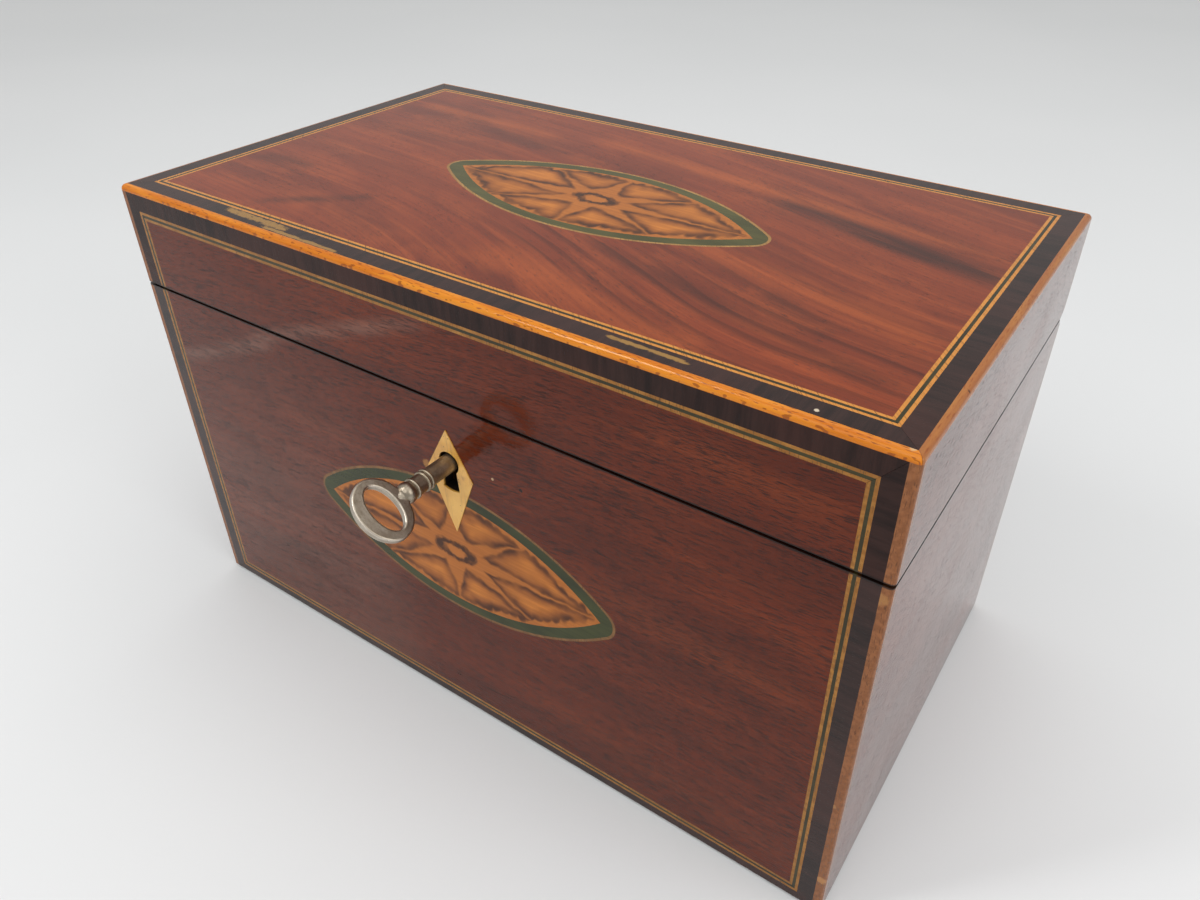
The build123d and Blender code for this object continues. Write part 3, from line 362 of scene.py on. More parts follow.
FRONT_LIGHT = srgb(128, 58, 26)
# Pale painted reflection: haze and streaks of light reflected off the front's polish
PAINTED_REFLECTION = srgb(150, 118, 104)
FRONT_SPECKS = (
    ((13.6, -54.5, 79.2), 0.7, srgb(190, 160, 124)),
    ((20.9, -54.5, 79.5), 0.9, srgb(26, 16, 12)),
    ((-4.9, -54.5, 75.4), 2.2, srgb(156, 108, 56)),
)
FRONT_MARKS = (
    ((30.0, 36.0), (90.0, 30.0), 4.0, FRONT_DARK, 0.5),
    ((-70.0, 22.0), (-38.0, 31.0), 3.0, FRONT_DARK, 0.4),
    ((-80.0, 58.0), (-60.0, 49.0), 8.0, FRONT_DARK, 0.35),
    ((46.0, 106.0), (90.0, 101.0), 5.0, FRONT_LIGHT, 0.35),
    ((20.0, 64.0), (90.0, 58.0), 7.0, FRONT_LIGHT, 0.35),
    ((10.0, 20.0), (92.0, 12.0), 6.0, FRONT_LIGHT, 0.3),
    ((-60.0, 74.0), (-10.0, 70.0), 5.0, FRONT_LIGHT, 0.25),
    ((-20.0, 9.0), (60.0, 16.0), 4.0, FRONT_DARK, 0.3),
    ((28.0, 76.0), (92.0, 82.0), 3.5, FRONT_DARK, 0.35),
    # The last three marks are painted reflection: two pale streaks and a broad pale haze on the
    # left
    ((-100.0, 70.0), (-46.0, 92.0), 3.2, PAINTED_REFLECTION, 0.32),
    ((-62.0, 88.0), (4.0, 112.0), 3.0, PAINTED_REFLECTION, 0.32),
    ((-150.0, 20.0), (-10.0, 30.0), 75.0, PAINTED_REFLECTION, 0.2),
)

# Bands, lines and edging

BANDING_TONES = (srgb(34, 22, 20), srgb(54, 35, 31))
BANDING_GLOW = srgb(70, 40, 34)
BANDING_PORES = srgb(18, 12, 12)
BOXWOOD_TONES = (srgb(134, 64, 18), srgb(198, 110, 24), srgb(222, 140, 42))
# Painted shade with a pale reflection haze, for the lid's edging over the box's ends
PAINTED_END_SHADE = srgb(122, 86, 66)
TOP_LINE = srgb(228, 150, 66)
WORN_GLUE = srgb(160, 120, 62)


def beyond_mitre(shader, wide, half_wide, high, half_high):
    """1 on the bands at a framed panel's ends, 0 on those above and below, parted by mitres."""
    out = shader.number("SUBTRACT", shader.number("ABSOLUTE", wide), half_wide)
    up = shader.number("SUBTRACT", shader.number("ABSOLUTE", high), half_high)
    return shader.number("GREATER_THAN", out, up)


def banding(
    name, axes, half_wide, middle, half_high, worn=(), specks=(), ior=POLISH_IOR
):
    """Dark crossbanding, whose grain runs across the band. axes name the panel's two directions.

    worn are patches down to the glue, each with its two ends and its reach.
    """
    shader = Shader(name)
    wide, high = (getattr(shader, axis) for axis in axes)
    high = shader.number("SUBTRACT", high, middle)
    ends = beyond_mitre(shader, wide, half_wide, high, half_high)
    run = shader.choose(ends, wide, high)
    cross = shader.choose(ends, high, wide)
    spot = shader.join(run, cross)
    dark, light = BANDING_TONES
    bars = shader.noise(spot, (0.55, 0.06, 1.0), detail=3.0, roughness=0.65)
    broad = shader.noise(spot, (0.045, 0.02, 1.0), detail=1.0)
    colour = shader.mix(shader.ramp(bars, 0.3, 0.7), dark, light)
    colour = shader.mix(shader.ramp(broad, 0.4, 0.7, 0.0, 0.5), colour, BANDING_GLOW)
    dashes = pores(shader, cross, run, 0.0, length=1.2, width=0.14, share=0.64)
    colour = shader.mix(shader.number("MULTIPLY", dashes, 0.6), colour, BANDING_PORES)
    ragged = shader.noise(spot, (0.5, 1.3, 1.0), detail=4.0, roughness=0.7)
    for start, end, reach in worn:
        near = shader.near_segment(shader.join(wide, high), start, end, reach)
        patch = shader.ramp(shader.number("MULTIPLY", near, ragged), 0.26, 0.42, 0.0, 0.85)
        colour = shader.mix(patch, colour, WORN_GLUE)
    colour = blemishes(shader, colour, specks)
    colour = joint_dirt(shader, colour)
    relief = shader.number("SUBTRACT", bars, dashes)
    dullness = shader.number("MULTIPLY", dashes, 0.2)
    return polished(shader, colour, dullness, relief, BANDING_RELIEF, ior=ior)


def boxwood(name, tones, run, cross, streak=0.9, chips=(), area=None, area_tone=PAINTED_END_SHADE):
    """Boxwood with streaks along the strip. run and cross are functions that find, from the shader,
    the place along and across it, and area finds where area_tone shows.
    """
    shader = Shader(name)
    along, across = run(shader), cross(shader)
    spot = shader.join(along, across, shader.z)
    dark, middle, light = tones
    streaks = shader.noise(spot, (0.05, streak, 0.9), detail=3.0, roughness=0.6)
    patches = shader.noise(spot, (0.04, 0.1, 0.1), detail=2.0)
    colour = shader.mix(shader.ramp(streaks, 0.36, 0.66), middle, light)
    colour = shader.mix(shader.ramp(patches, 0.42, 0.68, 0.0, 0.55), colour, middle)
    # On the lid's edging, area_tone is painted shade and haze over the ends
    if area:
        colour = shader.mix(shader.number("MULTIPLY", area(shader), 0.6), colour, area_tone)
    flecks = pores(shader, along, across, 0.0, length=1.6, width=0.22, share=0.6)
    colour = shader.mix(shader.number("MULTIPLY", flecks, 0.75), colour, dark)
    colour = blemishes(shader, colour, chips)
    colour = joint_dirt(shader, colour)
    relief = shader.number("SUBTRACT", streaks, flecks)
    dullness = shader.number("MULTIPLY", flecks, 0.15)
    return polished(shader, colour, dullness, relief, VENEER_RELIEF)


def edging_ends(shader):
    """1 on the edging over the box's ends, 0 on the edging over its front and back."""
    return beyond_mitre(shader, shader.x, HALF_WIDTH, shader.y, HALF_DEPTH)


def edging_run(shader):
    """Place along the edging of the lid."""
    return shader.choose(edging_ends(shader), shader.x, shader.y)


def edging_cross(shader):
    """Place across the edging of the lid."""
    return shader.choose(edging_ends(shader), shader.y, shader.x)


def lid_top(shader):
    """1 on what lies in the lid's top face, 0 on what is let into the front."""
    return shader.ramp(shader.z, LID_TOP - 0.4, LID_TOP - 0.2)


def upright(shader):
    """Place along an upright strip."""
    return shader.z


def level(shader):
    """Level place, the one across an upright strip."""
    return shader.number("ADD", shader.x, shader.y)


def line_run(shader):
    """Place along a line of any direction, level or upright."""
    return shader.number("ADD", level(shader), shader.z)


# Pateras: light rays, petals with sand-scorched edges, a scalloped rim and a dark rosette.
# Places are measured from a patera's middle. Ray tips and petal apexes go round it in turn.

RAY_TIPS = (
    (40.0, 0.2), (20.5, 10.8), (0.3, 14.5), (-18.0, 11.0),
    (-39.0, -0.3), (-21.0, -10.2), (-0.4, -14.8), (22.0, -10.8),
)
PETAL_APEXES = (
    (7.0, 1.3), (3.5, 3.7), (-3.8, 3.6), (-7.0, 2.0),
    (-6.5, -1.5), (-3.1, -3.9), (2.5, -3.9), (7.4, -1.9),
)
FIELD_HALF_LENGTH = 39.3
FIELD_HALF_WIDTH = 15.0
RAY_HALF = 0.4
PETAL_BULGE = 0.6
PETAL_TIP_ROUNDING = 0.8
SATIN_TONES = (srgb(142, 78, 32), srgb(178, 106, 44), srgb(208, 128, 52))
SCORCH = srgb(70, 38, 18)
TOAST = srgb(122, 66, 30)
WANDER_STRETCH = (0.22, 0.22, 0.22)
WANDER_APART = (50.0, 90.0, 70.0)
WANDER_REACH = 2.4
SCALLOPS = 1.3
SCALLOP_DEPTH = 0.45


def field_place(shader, centre, high):
    """Places on a patera's field, from its middle, with the wander of hand-cut edges."""
    wide = shader.number("SUBTRACT", shader.x, centre[0])
    tall = shader.number("SUBTRACT", getattr(shader, high), centre[1])
    spot = shader.join(wide, tall)
    elsewhere = shader.vector("ADD", shader.place, WANDER_APART)
    shifts = (
        shader.number("SUBTRACT", shader.noise(place, WANDER_STRETCH, detail=2.0), 0.5)
        for place in (shader.place, elsewhere)
    )
    wander = shader.vector("SCALE", shader.join(*shifts), scale=WANDER_REACH)
    return spot, shader.vector("ADD", spot, wander)


def edge_distance(shader, spot, start, end, side):
    """How far inside the arc from start to end: its hollow is left for side 1, right for -1."""
    start, end = Vector(start), Vector(end)
    run = end - start
    inwards = Vector((-run.y, run.x)).normalized() * side
    radius = (run.length_squared / 4 + PETAL_BULGE**2) / (2 * PETAL_BULGE)
    middle = (start + end) / 2 + inwards * (radius - PETAL_BULGE + RAY_HALF)
    away = shader.vector("DISTANCE", spot, (middle.x, middle.y, 0.0))
    return shader.number("SUBTRACT", radius, away)


def petal_depth(shader, spot):
    """How far inside the nearest petal a place is, in millimetres, below 0 on the rays."""
    deepest = None
    count = len(RAY_TIPS)
    for index, apex in enumerate(PETAL_APEXES):
        first = edge_distance(shader, spot, apex, RAY_TIPS[index], 1.0)
        second = edge_distance(shader, spot, apex, RAY_TIPS[(index + 1) % count], -1.0)
        depth = shader.number("SMOOTH_MIN", first, second, PETAL_TIP_ROUNDING)
        deepest = depth if deepest is None else shader.number("MAXIMUM", deepest, depth)
    return deepest


def rim_depth(shader, spot):
    """Distance inside the lens whose two long arcs bound the field."""
    radius = (FIELD_HALF_LENGTH**2 + FIELD_HALF_WIDTH**2) / (2 * FIELD_HALF_WIDTH)
    wide, tall, _ = shader.split(spot)
    raised = shader.number("ADD", shader.number("ABSOLUTE", tall), radius - FIELD_HALF_WIDTH)
    return shader.number("SUBTRACT", radius, shader.vector("LENGTH", shader.join(wide, raised)))


ROSETTE_RING = (4.5, 2.2)
ROSETTE_ENDS = 5.4


def scorched_ring(shader, colour, spot, tone):
    """The rosette's uneven dark ring round its tan middle, with darker knots at both ends."""
    wide, tall, _ = shader.split(spot)
    oval = shader.vector("LENGTH", shader.join(*(
        shader.number("DIVIDE", value, size) for value, size in zip((wide, tall), ROSETTE_RING)
    )))
    patchy = shader.ramp(shader.noise(spot, (0.45, 0.45, 1.0), detail=2.0), 0.3, 0.6, 0.75, 1.0)
    bends = shader.noise(spot, (0.6, 0.6, 1.0), detail=2.0)
    bent = shader.number("MULTIPLY_ADD", bends, 0.7, 0.65)
    away = shader.number("ABSOLUTE", shader.number("SUBTRACT", oval, bent))
    ring = shader.ramp(away, 0.14, 0.5, 1.0, 0.0)
    end = shader.number("SUBTRACT", shader.number("ABSOLUTE", wide), ROSETTE_ENDS - 0.9)
    knot = shader.ramp(shader.vector("LENGTH", shader.join(end, tall)), 0.7, 2.1, 1.0, 0.0)
    colour = shader.mix(shader.ramp(oval, 0.9, 1.2, 0.85, 0.0), colour, tone)
    scorched = shader.number("MAXIMUM", shader.number("MULTIPLY", ring, patchy), knot)
    return shader.mix(scorched, colour, SCORCH)


def satinwood(name, centre, high):
    """Satinwood of a patera's field with its scorched shading, the same on ground and petals."""
    shader = Shader(name)
    plain, spot = field_place(shader, centre, high)
    wide, tall, _ = shader.split(plain)
    turns = shader.number("MULTIPLY", wide, SCALLOPS)
    scallops = shader.number("ABSOLUTE", shader.number("SINE", turns))
    wander = shader.ramp(shader.noise(plain, (0.11, 0.11, 1.0), detail=2.0), 0.35, 0.65, 0.7, 2.2)
    inset = shader.number("SUBTRACT", rim_depth(shader, spot), wander)
    petal = petal_depth(shader, spot)
    depth = shader.number("MINIMUM", petal, inset)
    rim = shader.number("MULTIPLY_ADD", scallops, SCALLOP_DEPTH, inset)
    edge = shader.number("MINIMUM", petal, rim)
    grain = shader.noise(plain, (0.06, 1.3, 1.0), detail=3.0, roughness=0.6)
    glow = shader.noise(plain, (0.05, 0.08, 1.0), detail=2.0)
    dark, middle, light = SATIN_TONES
    lit = shader.number(
        "MULTIPLY", shader.ramp(depth, 0.8, 3.0, 0.15, 1.0), shader.ramp(glow, 0.3, 0.62)
    )
    colour = shader.mix(lit, middle, light)
    colour = shader.mix(shader.ramp(grain, 0.35, 0.7, 0.4, 0.0), colour, dark)
    uneven = shader.noise(plain, (0.14, 0.2, 1.0), detail=2.0)
    for tone, start, end, reach, strength in (
        (TOAST, 0.5, 0.4, 4.2, (0.3, 0.7, 0.4, 0.85)),
        (SCORCH, 0.35, 0.2, 1.8, (0.3, 0.65, 0.3, 0.95)),
    ):
        inside = shader.ramp(edge, -0.6, start)
        shade = shader.number("MULTIPLY", inside, shader.ramp(depth, end, reach, 1.0, 0.0))
        patchy = shader.number("MULTIPLY", shade, shader.ramp(uneven, *strength))
        colour = shader.mix(patchy, colour, tone)
    colour = scorched_ring(shader, colour, spot, middle)
    return polished(shader, colour, 0.02, grain, INLAY_RELIEF, ior=PATERA_POLISH_IOR)


def rosette(name, centre, high):
    """Satinwood oval, scorched dark along its rim."""
    shader = Shader(name)
    plain, spot = field_place(shader, centre, high)
    grain = shader.noise(plain, (0.06, 1.3, 1.0), detail=3.0, roughness=0.6)
    dark, middle, _ = SATIN_TONES
    colour = shader.mix(shader.ramp(grain, 0.35, 0.7, 0.5, 0.0), middle, dark)
    colour = scorched_ring(shader, colour, spot, middle)
    return polished(shader, colour, 0.03, grain, INLAY_RELIEF, ior=PATERA_POLISH_IOR)


def stained(name, tones):
    """Green-stained wood, mottled where the stain took unevenly."""
    shader = Shader(name)
    dark, light = tones
    fibre = shader.noise(shader.place, (0.07, 1.4, 1.4), detail=3.0, roughness=0.6)
    cloud = shader.noise(shader.place, (0.06, 0.12, 0.12), detail=2.0)
    colour = shader.mix(shader.ramp(cloud, 0.3, 0.7), dark, light)
    colour = shader.mix(shader.ramp(fibre, 0.35, 0.6, 0.5, 0.0), colour, dark)
    return polished(shader, colour, 0.02, fibre, INLAY_RELIEF)


# Bone, metal, paper, foil and baize

KEYHOLE = (1.9, 77.0)
KEYHOLE_REACH = 7.0
KEYHOLE_BLOOM = srgb(150, 92, 40)
BONE_TONES = (srgb(230, 178, 84), srgb(210, 152, 62))
BONE_FIBRES = srgb(168, 118, 56)
BONE_SPECKS = srgb(110, 72, 38)
METAL_RELIEF = 0.02


def keyhole_darkening(shader, colour):
    """Near-black inside the keyhole, with a brown bloom on the surface round it."""
    wide = shader.number("SUBTRACT", shader.x, KEYHOLE[0])
    tall = shader.number("SUBTRACT", shader.z, KEYHOLE[1])
    away = shader.vector("LENGTH", shader.join(wide, tall))
    cloud = shader.noise(shader.place, (0.7, 0.7, 0.7), detail=3.0)
    bloom = shader.number(
        "MULTIPLY", shader.ramp(away, 2.6, 5.5, 1.0, 0.0), shader.ramp(cloud, 0.45, 0.7)
    )
    front = shader.ramp(shader.y, -HALF_DEPTH - 0.1, -HALF_DEPTH, 1.0, 0.0)
    near = shader.ramp(away, KEYHOLE_REACH - 1.0, KEYHOLE_REACH, 1.0, 0.0)
    sunk = shader.ramp(shader.y, -HALF_DEPTH, -HALF_DEPTH + 0.4)
    colour = shader.mix(shader.number("MULTIPLY", bloom, front), colour, KEYHOLE_BLOOM)
    # Darkens the keyhole's inside walls to near-black
    return shader.mix(shader.number("MULTIPLY", near, sunk), colour, DIRT)


def bone(name):
    """Yellowed bone: faint long pores, warmer and dirtier at random."""
    shader = Shader(name)
    spot = shader.join(shader.z, shader.x, shader.y)
    fibre = shader.noise(spot, (0.12, 1.6, 1.6), detail=3.0, roughness=0.65)
    stain = shader.noise(shader.place, (0.13, 0.13, 0.13), detail=3.0, roughness=0.6)
    colour = shader.mix(shader.ramp(stain, 0.35, 0.7), *BONE_TONES)
    colour = shader.mix(shader.ramp(fibre, 0.3, 0.48, 0.5, 0.0), colour, BONE_FIBRES)
    specks = shader.ramp(shader.cells(shader.place, (0.6, 0.6, 0.6)), 0.05, 0.14, 0.75, 0.0)
    colour = shader.mix(specks, colour, BONE_SPECKS)
    colour = keyhole_darkening(shader, colour)
    return shader.finish(
        base_color=colour, roughness=shader.choose(stain, 0.28, 0.5),
        normal=shader.bump(fibre, 0.03), coat_weight=0.4, coat_roughness=0.2,
    )


def metal(name, tones, rough):
    """Old metal: two tones of tarnish, fine scratches and small pits."""
    shader = Shader(name)
    bright, dull, pitted = tones
    cloud = shader.noise(shader.place, (0.16, 0.16, 0.16), detail=4.0, roughness=0.6)
    scratches = shader.noise(shader.place, (0.3, 2.5, 2.5), detail=3.0, roughness=0.7)
    spots = shader.noise(shader.place, (1.1, 1.1, 1.1), detail=3.0, roughness=0.65)
    colour = shader.mix(shader.ramp(cloud, 0.38, 0.66), bright, dull)
    hollow = shader.ramp(spots, 0.58, 0.72, 0.0, 0.5)
    colour = shader.mix(hollow, colour, pitted)
    worn = shader.number("ADD", cloud, shader.number("MULTIPLY", hollow, 0.4))
    relief = shader.number("SUBTRACT", shader.number("MULTIPLY", scratches, 0.5), hollow)
    return shader.finish(
        base_color=colour, metallic=1.0, roughness=shader.ramp(worn, 0.3, 0.9, *rough),
        normal=shader.bump(relief, METAL_RELIEF),
    )


# Places along the key are distances in front of the frame's origin
KEY_COLLARS = 60.2
KEY_HANDLED = 71.5
KEY_BOW = 70.5
KEY_TURN_AT_REST = math.radians(52.3)
BOW_FACING = (math.cos(KEY_TURN_AT_REST), 0.0, math.sin(KEY_TURN_AT_REST))
KEY_DULL = (srgb(142, 128, 108), srgb(172, 158, 136))
KEY_BRIGHT = (srgb(172, 161, 145), srgb(148, 136, 119))
# Painted highlight for the bow's rounded rims
KEY_PAINTED_GLINT = srgb(222, 212, 198)
KEY_PITS = srgb(84, 66, 50)


def key_metal(name):
    """Steel key: dull and browned along the shank, handled bright at the bow, with painted rim
    highlights.
    """
    shader = Shader(name)
    out = shader.number("MULTIPLY", shader.y, -1.0)
    cloud = shader.noise(shader.place, (0.45, 0.45, 0.45), detail=4.0, roughness=0.65)
    uneven = shader.number("MULTIPLY_ADD", cloud, 4.0, out)
    handled = shader.ramp(uneven, KEY_COLLARS, KEY_HANDLED)
    grains = shader.noise(shader.place, (2.6, 2.6, 2.6), detail=3.0, roughness=0.7)
    dull = shader.mix(shader.ramp(cloud, 0.35, 0.65), *KEY_DULL)
    bright = shader.mix(shader.ramp(cloud, 0.35, 0.7), *KEY_BRIGHT)
    colour = shader.mix(handled, dull, bright)
    facing = shader.add("ShaderNodeTexCoord").outputs["Normal"]
    flat = shader.number("ABSOLUTE", shader.vector("DOT_PRODUCT", facing, BOW_FACING))
    # Painted highlight: the bow's rounded rims, found from the surface's facing, are lightened
    rounded = shader.number(
        "MULTIPLY", shader.ramp(flat, 0.75, 0.95, 1.0, 0.0), shader.ramp(flat, 0.05, 0.35, 0.2, 1.0)
    )
    rim = shader.number("MULTIPLY", rounded, shader.ramp(out, KEY_BOW - 1.0, KEY_BOW))
    colour = shader.mix(shader.number("MULTIPLY", rim, 0.8), colour, KEY_PAINTED_GLINT)
    colour = shader.mix(shader.ramp(grains, 0.55, 0.75, 0.0, 0.5), colour, KEY_PITS)
    relief = shader.number("ADD", grains, cloud)
    return shader.finish(
        base_color=colour, metallic=1.0, roughness=shader.choose(handled, 0.42, 0.3),
        normal=shader.bump(relief, 0.03),
    )


WOOD_DIRT = srgb(66, 44, 30)


def plain_wood(name, tones, axes, polish=0.15, ring_width=3.2, ringed=0.6):
    """Straight-grained wood of the carcass and linings, with growth lines and old dirt."""
    shader = Shader(name)
    along, across, deep = (getattr(shader, axis) for axis in axes)
    spot = shader.join(along, shader.number("MULTIPLY_ADD", deep, 0.7, across), deep)
    dark, light = tones
    bands = shader.noise(spot, (0.006, 0.11, 0.05), detail=3.0, roughness=0.6)
    fibre = shader.noise(spot, (0.06, 1.3, 1.3), detail=3.0, roughness=0.6)
    colour = shader.mix(shader.ramp(bands, 0.35, 0.65, 0.0, 0.7), light, dark)
    rings = shader.number("MULTIPLY", growth_lines(shader, spot, ring_width), ringed)
    colour = shader.mix(rings, colour, dark)
    colour = shader.mix(shader.ramp(fibre, 0.35, 0.6, 0.45, 0.0), colour, dark)
    dirt = shader.noise(shader.place, (0.03, 0.03, 0.03), detail=3.0)
    colour = shader.mix(shader.ramp(dirt, 0.45, 0.75, 0.0, 0.35), colour, WOOD_DIRT)
    colour = keyhole_darkening(shader, colour)
    return shader.finish(
        base_color=colour, roughness=shader.choose(fibre, 0.42, 0.62),
        normal=shader.bump(fibre, 0.05), coat_weight=polish, coat_roughness=0.35,
    )


FOIL_TONES = (srgb(176, 176, 172), srgb(122, 122, 118))
FOIL_CREASES = srgb(92, 90, 86)
FOIL_SHIFT = (3.0, 7.0, 5.0)


def foil(name):
    """Lead-tin tea foil: soft grey metal, creased and rubbed."""
    shader = Shader(name)
    shifted = shader.vector("ADD", shader.place, FOIL_SHIFT)
    creases = shader.cells(shifted, (0.16, 0.16, 0.16), "DISTANCE_TO_EDGE")
    crumple = shader.noise(shader.place, (0.13, 0.13, 0.13), detail=4.0, roughness=0.6)
    cloud = shader.noise(shader.place, (0.05, 0.05, 0.05), detail=3.0)
    colour = shader.mix(shader.ramp(cloud, 0.35, 0.7), *FOIL_TONES)
    colour = shader.mix(shader.ramp(creases, 0.0, 0.05, 0.45, 0.0), colour, FOIL_CREASES)
    relief = shader.number("ADD", crumple, shader.ramp(creases, 0.0, 0.12, 0.0, 0.4))
    return shader.finish(
        base_color=colour, metallic=0.9, roughness=shader.choose(cloud, 0.38, 0.6),
        normal=shader.bump(relief, 0.5),
    )


PAPER_TONES = (srgb(176, 138, 112), srgb(150, 112, 90))
FOXING = srgb(122, 80, 54)
PAPER_FIBRES = srgb(128, 92, 72)


def paper(name):
    """Faded lining paper: laid fibres, stains and foxing."""
    shader = Shader(name)
    fibres = shader.noise(shader.place, (0.9, 2.2, 0.9), detail=4.0, roughness=0.7)
    cloud = shader.noise(shader.place, (0.025, 0.025, 0.025), detail=3.0)
    spots = shader.noise(shader.place, (0.2, 0.2, 0.2), detail=4.0, roughness=0.55)
    colour = shader.mix(shader.ramp(cloud, 0.35, 0.7), *PAPER_TONES)
    colour = shader.mix(shader.ramp(spots, 0.66, 0.76, 0.0, 0.7), colour, FOXING)
    colour = shader.mix(shader.ramp(fibres, 0.35, 0.65, 0.25, 0.0), colour, PAPER_FIBRES)
    return shader.finish(base_color=colour, roughness=0.85, normal=shader.bump(fibres, 0.04))


BAIZE_TONES = (srgb(44, 82, 54), srgb(56, 92, 60))
BAIZE_SHADE = srgb(28, 54, 36)


def baize_cloth(name):
    """Green woollen baize: matted fibres with a soft sheen."""
    shader = Shader(name)
    tangle = shader.noise(
        shader.place, (1.6, 1.6, 1.6), detail=5.0, roughness=0.75, distortion=1.2
    )
    cloud = shader.noise(shader.place, (0.05, 0.05, 0.05), detail=3.0)
    colour = shader.mix(shader.ramp(cloud, 0.35, 0.7), *BAIZE_TONES)
    colour = shader.mix(shader.ramp(tangle, 0.35, 0.65, 0.6, 0.0), colour, BAIZE_SHADE)
    return shader.finish(
        base_color=colour, roughness=0.95, normal=shader.bump(tangle, 0.25),
        sheen_weight=0.5, sheen_roughness=0.6,
    )


# Materials by slot, and by node where the photograph shows a difference

TOP_PATERA = (1.0, 0.0)
FRONT_PATERA = (0.5, 53.6)
GREEN_TONES = (srgb(40, 45, 18), srgb(60, 64, 28))
LINE_GREEN_TONES = (srgb(46, 40, 20), srgb(62, 56, 28))
TOP_GREEN_TONES = (srgb(64, 62, 24), srgb(86, 82, 38))
LINE_TONES = (srgb(88, 56, 22), srgb(142, 92, 36), srgb(166, 114, 50))
OUTLINE_TONES = (srgb(76, 50, 26), srgb(112, 76, 40), srgb(134, 94, 52))
TOP_OUTLINE_TONES = (srgb(98, 70, 34), srgb(150, 108, 56), srgb(174, 130, 72))
CORNER_TONES = (srgb(88, 52, 28), srgb(128, 78, 44), srgb(148, 94, 56))

CORNER_CHIPS = (
    ((93.3, -54.5, 90.2), 2.6, srgb(164, 114, 66)),
    ((94.0, -54.5, 11.5), 2.2, srgb(178, 126, 76)),
    ((93.2, -54.5, 36.0), 1.1, srgb(166, 118, 72)),
    ((95.0, -53.5, 74.0), 0.8, DIRT),
)
EDGING_CHIPS = (
    ((92.8, -53.0, 118.0), 1.2, srgb(206, 170, 124)),
    ((94.4, -33.0, 117.4), 0.9, srgb(70, 40, 26)),
)
TOP_SPECKS = (((77.6, -51.7, 118.0), 0.8, srgb(214, 198, 174)),)
TOP_PATCHES = (
    ((-64.0, -50.0), (-39.0, -50.8), 2.5),
    ((-50.0, -52.3), (-22.0, -52.5), 1.3),
    ((37.0, -50.4), (57.0, -50.7), 1.3),
)
CARCASS_TONES = (srgb(132, 92, 54), srgb(176, 134, 86))
LINING_TONES = (srgb(76, 38, 24), srgb(116, 62, 38))

# Each metal's bright, tarnished and pitted tones, with its lowest and highest roughness
LOCK_BRASS = ((srgb(214, 178, 108), srgb(166, 130, 72), srgb(96, 74, 44)), (0.25, 0.6))
SCREW_STEEL = ((srgb(140, 134, 126), srgb(96, 88, 80), srgb(60, 50, 42)), (0.3, 0.65))
LOCK_STEEL = ((srgb(168, 164, 158), srgb(120, 114, 106), srgb(78, 66, 56)), (0.25, 0.6))

by_slot = {
    "carcass_wood": plain_wood("carcass_wood", CARCASS_TONES, "xyz"),
    "top_mahogany": mahogany(
        "top_mahogany", "xyz", TOP_TONES, TOP_PORES, course=TOP_COURSE, marks=TOP_MARKS,
        rings=TOP_RINGS, mottled=0.5, pore_share=0.65,
    ),
    "front_mahogany": mahogany(
        "front_mahogany", "xzy", FRONT_TONES, FRONT_PORES, course=FRONT_COURSE,
        marks=FRONT_MARKS, specks=FRONT_SPECKS, mottled=0.15, pore_share=0.56,
        fleck_share=0.6, ior=FRONT_POLISH_IOR,
    ),
    "end_mahogany": mahogany(
        "end_mahogany", "yzx", FRONT_TONES, FRONT_PORES, pore_share=0.6, ior=END_POLISH_IOR
    ),
    "back_mahogany": mahogany(
        "back_mahogany", "xzy", FRONT_TONES, FRONT_PORES, pore_share=0.58
    ),
    "edging_boxwood": boxwood(
        "edging_boxwood", CORNER_TONES, upright, level, chips=CORNER_CHIPS
    ),
    "stringing_boxwood": boxwood(
        "stringing_boxwood", LINE_TONES, line_run, level, streak=0.3, area=lid_top,
        area_tone=TOP_LINE,
    ),
    "stringing_green": stained("stringing_green", LINE_GREEN_TONES),
    "patera_line": boxwood("patera_line", OUTLINE_TONES, line_run, level, streak=0.3),
    "patera_green": stained("patera_green", GREEN_TONES),
    "bone": bone("bone"),
    "lock_brass": metal("lock_brass", *LOCK_BRASS),
    "screw_steel": metal("screw_steel", *SCREW_STEEL),
    "lock_steel": metal("lock_steel", *LOCK_STEEL),
    "key_steel": key_metal("key_steel"),
    "lining_mahogany": plain_wood(
        "lining_mahogany", LINING_TONES, "yxz", polish=0.5, ring_width=7.0, ringed=0.4
    ),
    "tea_foil": foil("tea_foil"),
    "lining_paper": paper("lining_paper"),
    "baize": baize_cloth("baize"),
}
by_node = {
    # The edging over the ends is painted darker and hazier, as shade and reflection haze
    "lid_edge_moulding": boxwood(
        "top_edging", BOXWOOD_TONES, edging_run, edging_cross, area=edging_ends,
        chips=EDGING_CHIPS,
    ),
    "lid_top_crossbanding": banding(
        "top_crossbanding", "xy", HALF_WIDTH - EDGING, 0.0, HALF_DEPTH - EDGING,
        worn=TOP_PATCHES, specks=TOP_SPECKS,
    ),
    "top_patera_line": boxwood(
        "top_patera_line", TOP_OUTLINE_TONES, line_run, level, streak=0.3
    ),
    "top_patera_border": stained("top_patera_green", TOP_GREEN_TONES),
    "lid_front_crossbanding": banding(
        "lid_front_crossbanding", "xz", HALF_WIDTH - EDGING, JOINT_Z, LID_TOP - EDGING - JOINT_Z,
        ior=LID_BAND_POLISH_IOR,
    ),
    "base_front_crossbanding": banding(
        "base_front_crossbanding", "xz", HALF_WIDTH - EDGING, JOINT_Z, JOINT_Z - FOOT
    ),
}
end_boards = plain_wood("end_boards", CARCASS_TONES, "yxz")
for node in ("base_left_board", "base_right_board", "lid_end_boards"):
    by_node[node] = end_boards
